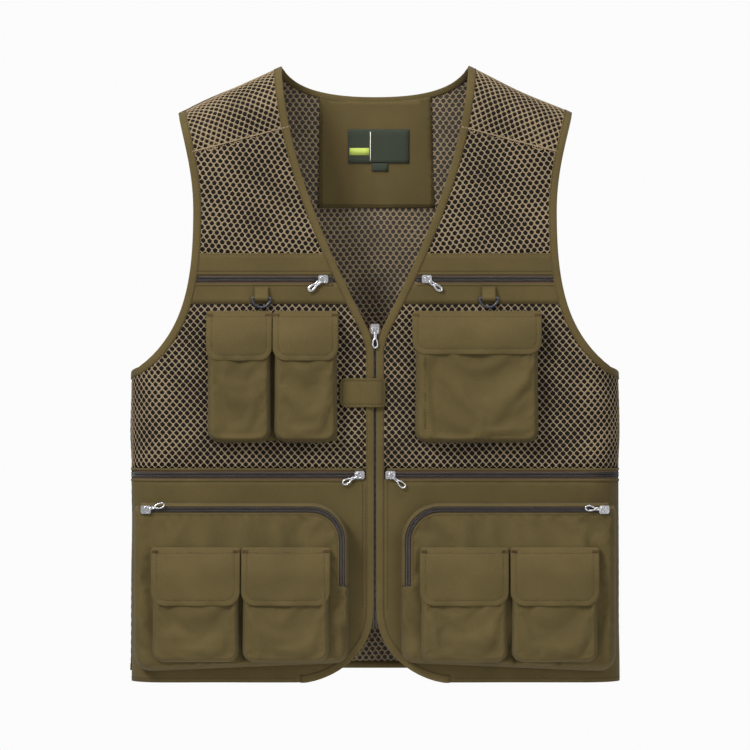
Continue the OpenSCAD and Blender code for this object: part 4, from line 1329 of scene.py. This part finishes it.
def build_tab():
    """The tab across the main zip, which humps over the zip's slider path."""
    low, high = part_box("front_tab")
    outline = rounded(rectangle(low.x, high.x, low.z, high.z), [0.006, 0.0015, 0.0015, 0.006], 4)
    hump_height = 0.9 * (-low.y - SIDE_R - 0.0030)

    def surface(u, v, out):
        hump = np.exp(-(np.abs(u) / 0.0095) ** 4)
        return np.stack([u, -(SIDE_R + 0.0026 + hump_height * hump + out), v], axis=-1)

    m = 0.003
    left, right, bottom, top = low.x + m, high.x - m, low.z + m, high.z - m
    piece = soft("front_tab_cloth", outline, surface, POCKET_CLOTH, 0.003, (m,), 0.0001, thick=0.0016)
    place(piece, "front_tab", "front_tab", slot="cloth")
    rows = [[(right, top), (left, top)], [(left, top), (left, bottom)], [(left, bottom), (right, bottom)],
            [(right, bottom), (right, top)], [(high.x - 0.008, bottom), (high.x - 0.008, top)]]
    stitch("front_tab_stitches", rows, surface, -0.0002, "front_tab")


# Rings of a pull, as (place down from the pin, half length, half width, taper, wire, half thickness,
# points round it): the loop to hold, the eye on the slider's pin, and the neck between them.
EYE = (0.0012, 0.0029, 0.0034, 0.0, 0.00062, 0.00052, 40)
PULL_RINGS = ((0.0155, 0.0052, 0.0026, 0.22, 0.0009, 0.00075, 40), EYE,
              (0.0072, 0.0034, 0.0009, 0.1, 0.00085, 0.0007, 24))
CHEST_PULL_RINGS = ((0.0150, 0.0050, 0.0023, 0.25, 0.00135, 0.0008, 40), EYE,
                    (0.0072, 0.0034, 0.0014, 0.1, 0.0012, 0.0007, 24))


def build_pull(node):
    """Cast pull: an eye on the slider's pin, a short neck, and an open teardrop loop to hold."""
    joint = next(j for j in frame["joints"] if j["child"] == node)
    pin = Vector(joint["pos_m"])
    across = Vector(joint["axis"]).normalized()
    down = Vector((-across.z, 0, across.x))
    sides = 10
    pieces = []
    for centre, long_r, wide_r, taper, wire, half_t, count in (
            CHEST_PULL_RINGS if "chest" in node else PULL_RINGS):
        verts = []
        for angle in np.arange(count) * 2 * math.pi / count:
            c, s = math.cos(angle), math.sin(angle)
            core = Vector((c * long_r, s * wide_r * (1 + taper * c)))
            normal = Vector((c / long_r, s / wide_r)).normalized()
            for turn in np.arange(sides) * 2 * math.pi / sides:
                at = core + normal * (wire * math.cos(turn))
                lift = Vector((0, -half_t * math.sin(turn), 0))
                verts.append(pin + down * (centre + at.x) + across * at.y + lift)
        faces = [face[::-1] for face in tube_faces(count, sides, closed=True)]
        pieces.append(add_object(node + "_ring", verts, faces, STEEL))
    place(merged(node + "_loop", pieces), node, node, slot="steel")


def finish_hardware():
    """Pulls are rebuilt as cast rings; the moulded rings and plated sliders keep their shape and get a real
    finish, and the sliders get softened edges.
    """
    for node in frame["nodes"]:
        if "_pull" in node:
            build_pull(node)
            continue
        ring = node.startswith("d_ring")
        if not ring and "slider" not in node:
            continue
        obj = bpy.data.objects[node]
        obj.data.materials.clear()
        obj.data.materials.append(RING if ring else STEEL)
        if not ring:
            edge = obj.modifiers.new("soft_edges", "BEVEL")
            edge.width, edge.segments, edge.limit_method = 0.00025, 2, "ANGLE"


for side in SIDES:
    build_level_zip(f"chest_zip_{side}", side, CHEST_ZIP, 0.046, 0.2035)
    build_level_zip(f"waist_zip_{side}", side, WAIST_ZIP, 0.013, SEAM)
    build_main_zip(side)
    build_cargo(side)
    build_small(side)
    build_ring_loop(side)
build_right_chest()
build_left_chest()
for side in SIDES:
    build_hook_patches(side)
build_tab()
finish_hardware()

# ---------- studio ----------


FLOOR_Z = -0.825
AIM = Vector((0, 0, -0.34))
LAMPS = (("key", (-1.7, -1.8, 1.3), 110, 0.8),      # name, place, power, size
         ("fill", (1.6, -2.6, -0.3), 34, 1.6),
         ("top", (0.2, -0.7, 2.0), 34, 1.0))


def build_floor():
    bpy.ops.mesh.primitive_circle_add(vertices=96, radius=0.42, fill_type="NGON", location=(0, 0, FLOOR_Z))
    floor = bpy.context.object
    floor.name = "studio_floor"
    material, _, shader, _ = new_material("pale_floor")
    shader.inputs["Base Color"].default_value = (0.9, 0.9, 0.9, 1)
    shader.inputs["Roughness"].default_value = 0.8
    floor.data.materials.append(material)


def build_world():
    """A pale room, a little darker behind the vest than in front of it."""
    world = bpy.data.worlds.new("studio")
    world.use_nodes = True
    tree = world.node_tree
    coords = tree.nodes.new("ShaderNodeTexCoord")
    split = tree.nodes.new("ShaderNodeSeparateXYZ")
    tree.links.new(coords.outputs["Generated"], split.inputs["Vector"])
    pale = ramp(tree, split.outputs["Y"], [(0.35, grey(0.62)), (0.95, grey(0.97))])
    tree.links.new(pale, tree.nodes["Background"].inputs["Color"])
    bpy.context.scene.world = world
    bpy.context.scene.view_settings.view_transform = "Standard"


def build_lamps():
    for name, spot, power, size in LAMPS:
        light = bpy.data.lights.new(name, "AREA")
        light.energy, light.size = power, size
        lamp = bpy.data.objects.new(name, light)
        lamp.location = spot
        lamp.rotation_euler = (AIM - Vector(spot)).to_track_quat("-Z", "Y").to_euler()
        bpy.context.scene.collection.objects.link(lamp)


def build_camera():
    """Camera straight in front, far enough away for little perspective."""
    distance, view_width = 5.0, 0.825
    camera = bpy.data.cameras.new("camera")
    camera.sensor_width = 36
    camera.lens = camera.sensor_width * distance / view_width
    obj = bpy.data.objects.new("camera", camera)
    obj.location = (0, -distance - SIDE_R, -0.3415)
    obj.rotation_euler = (math.pi / 2, 0, 0)
    bpy.context.scene.collection.objects.link(obj)
    bpy.context.scene.camera = obj


build_floor()
build_world()
build_lamps()
build_camera()

bpy.context.view_layer.update()
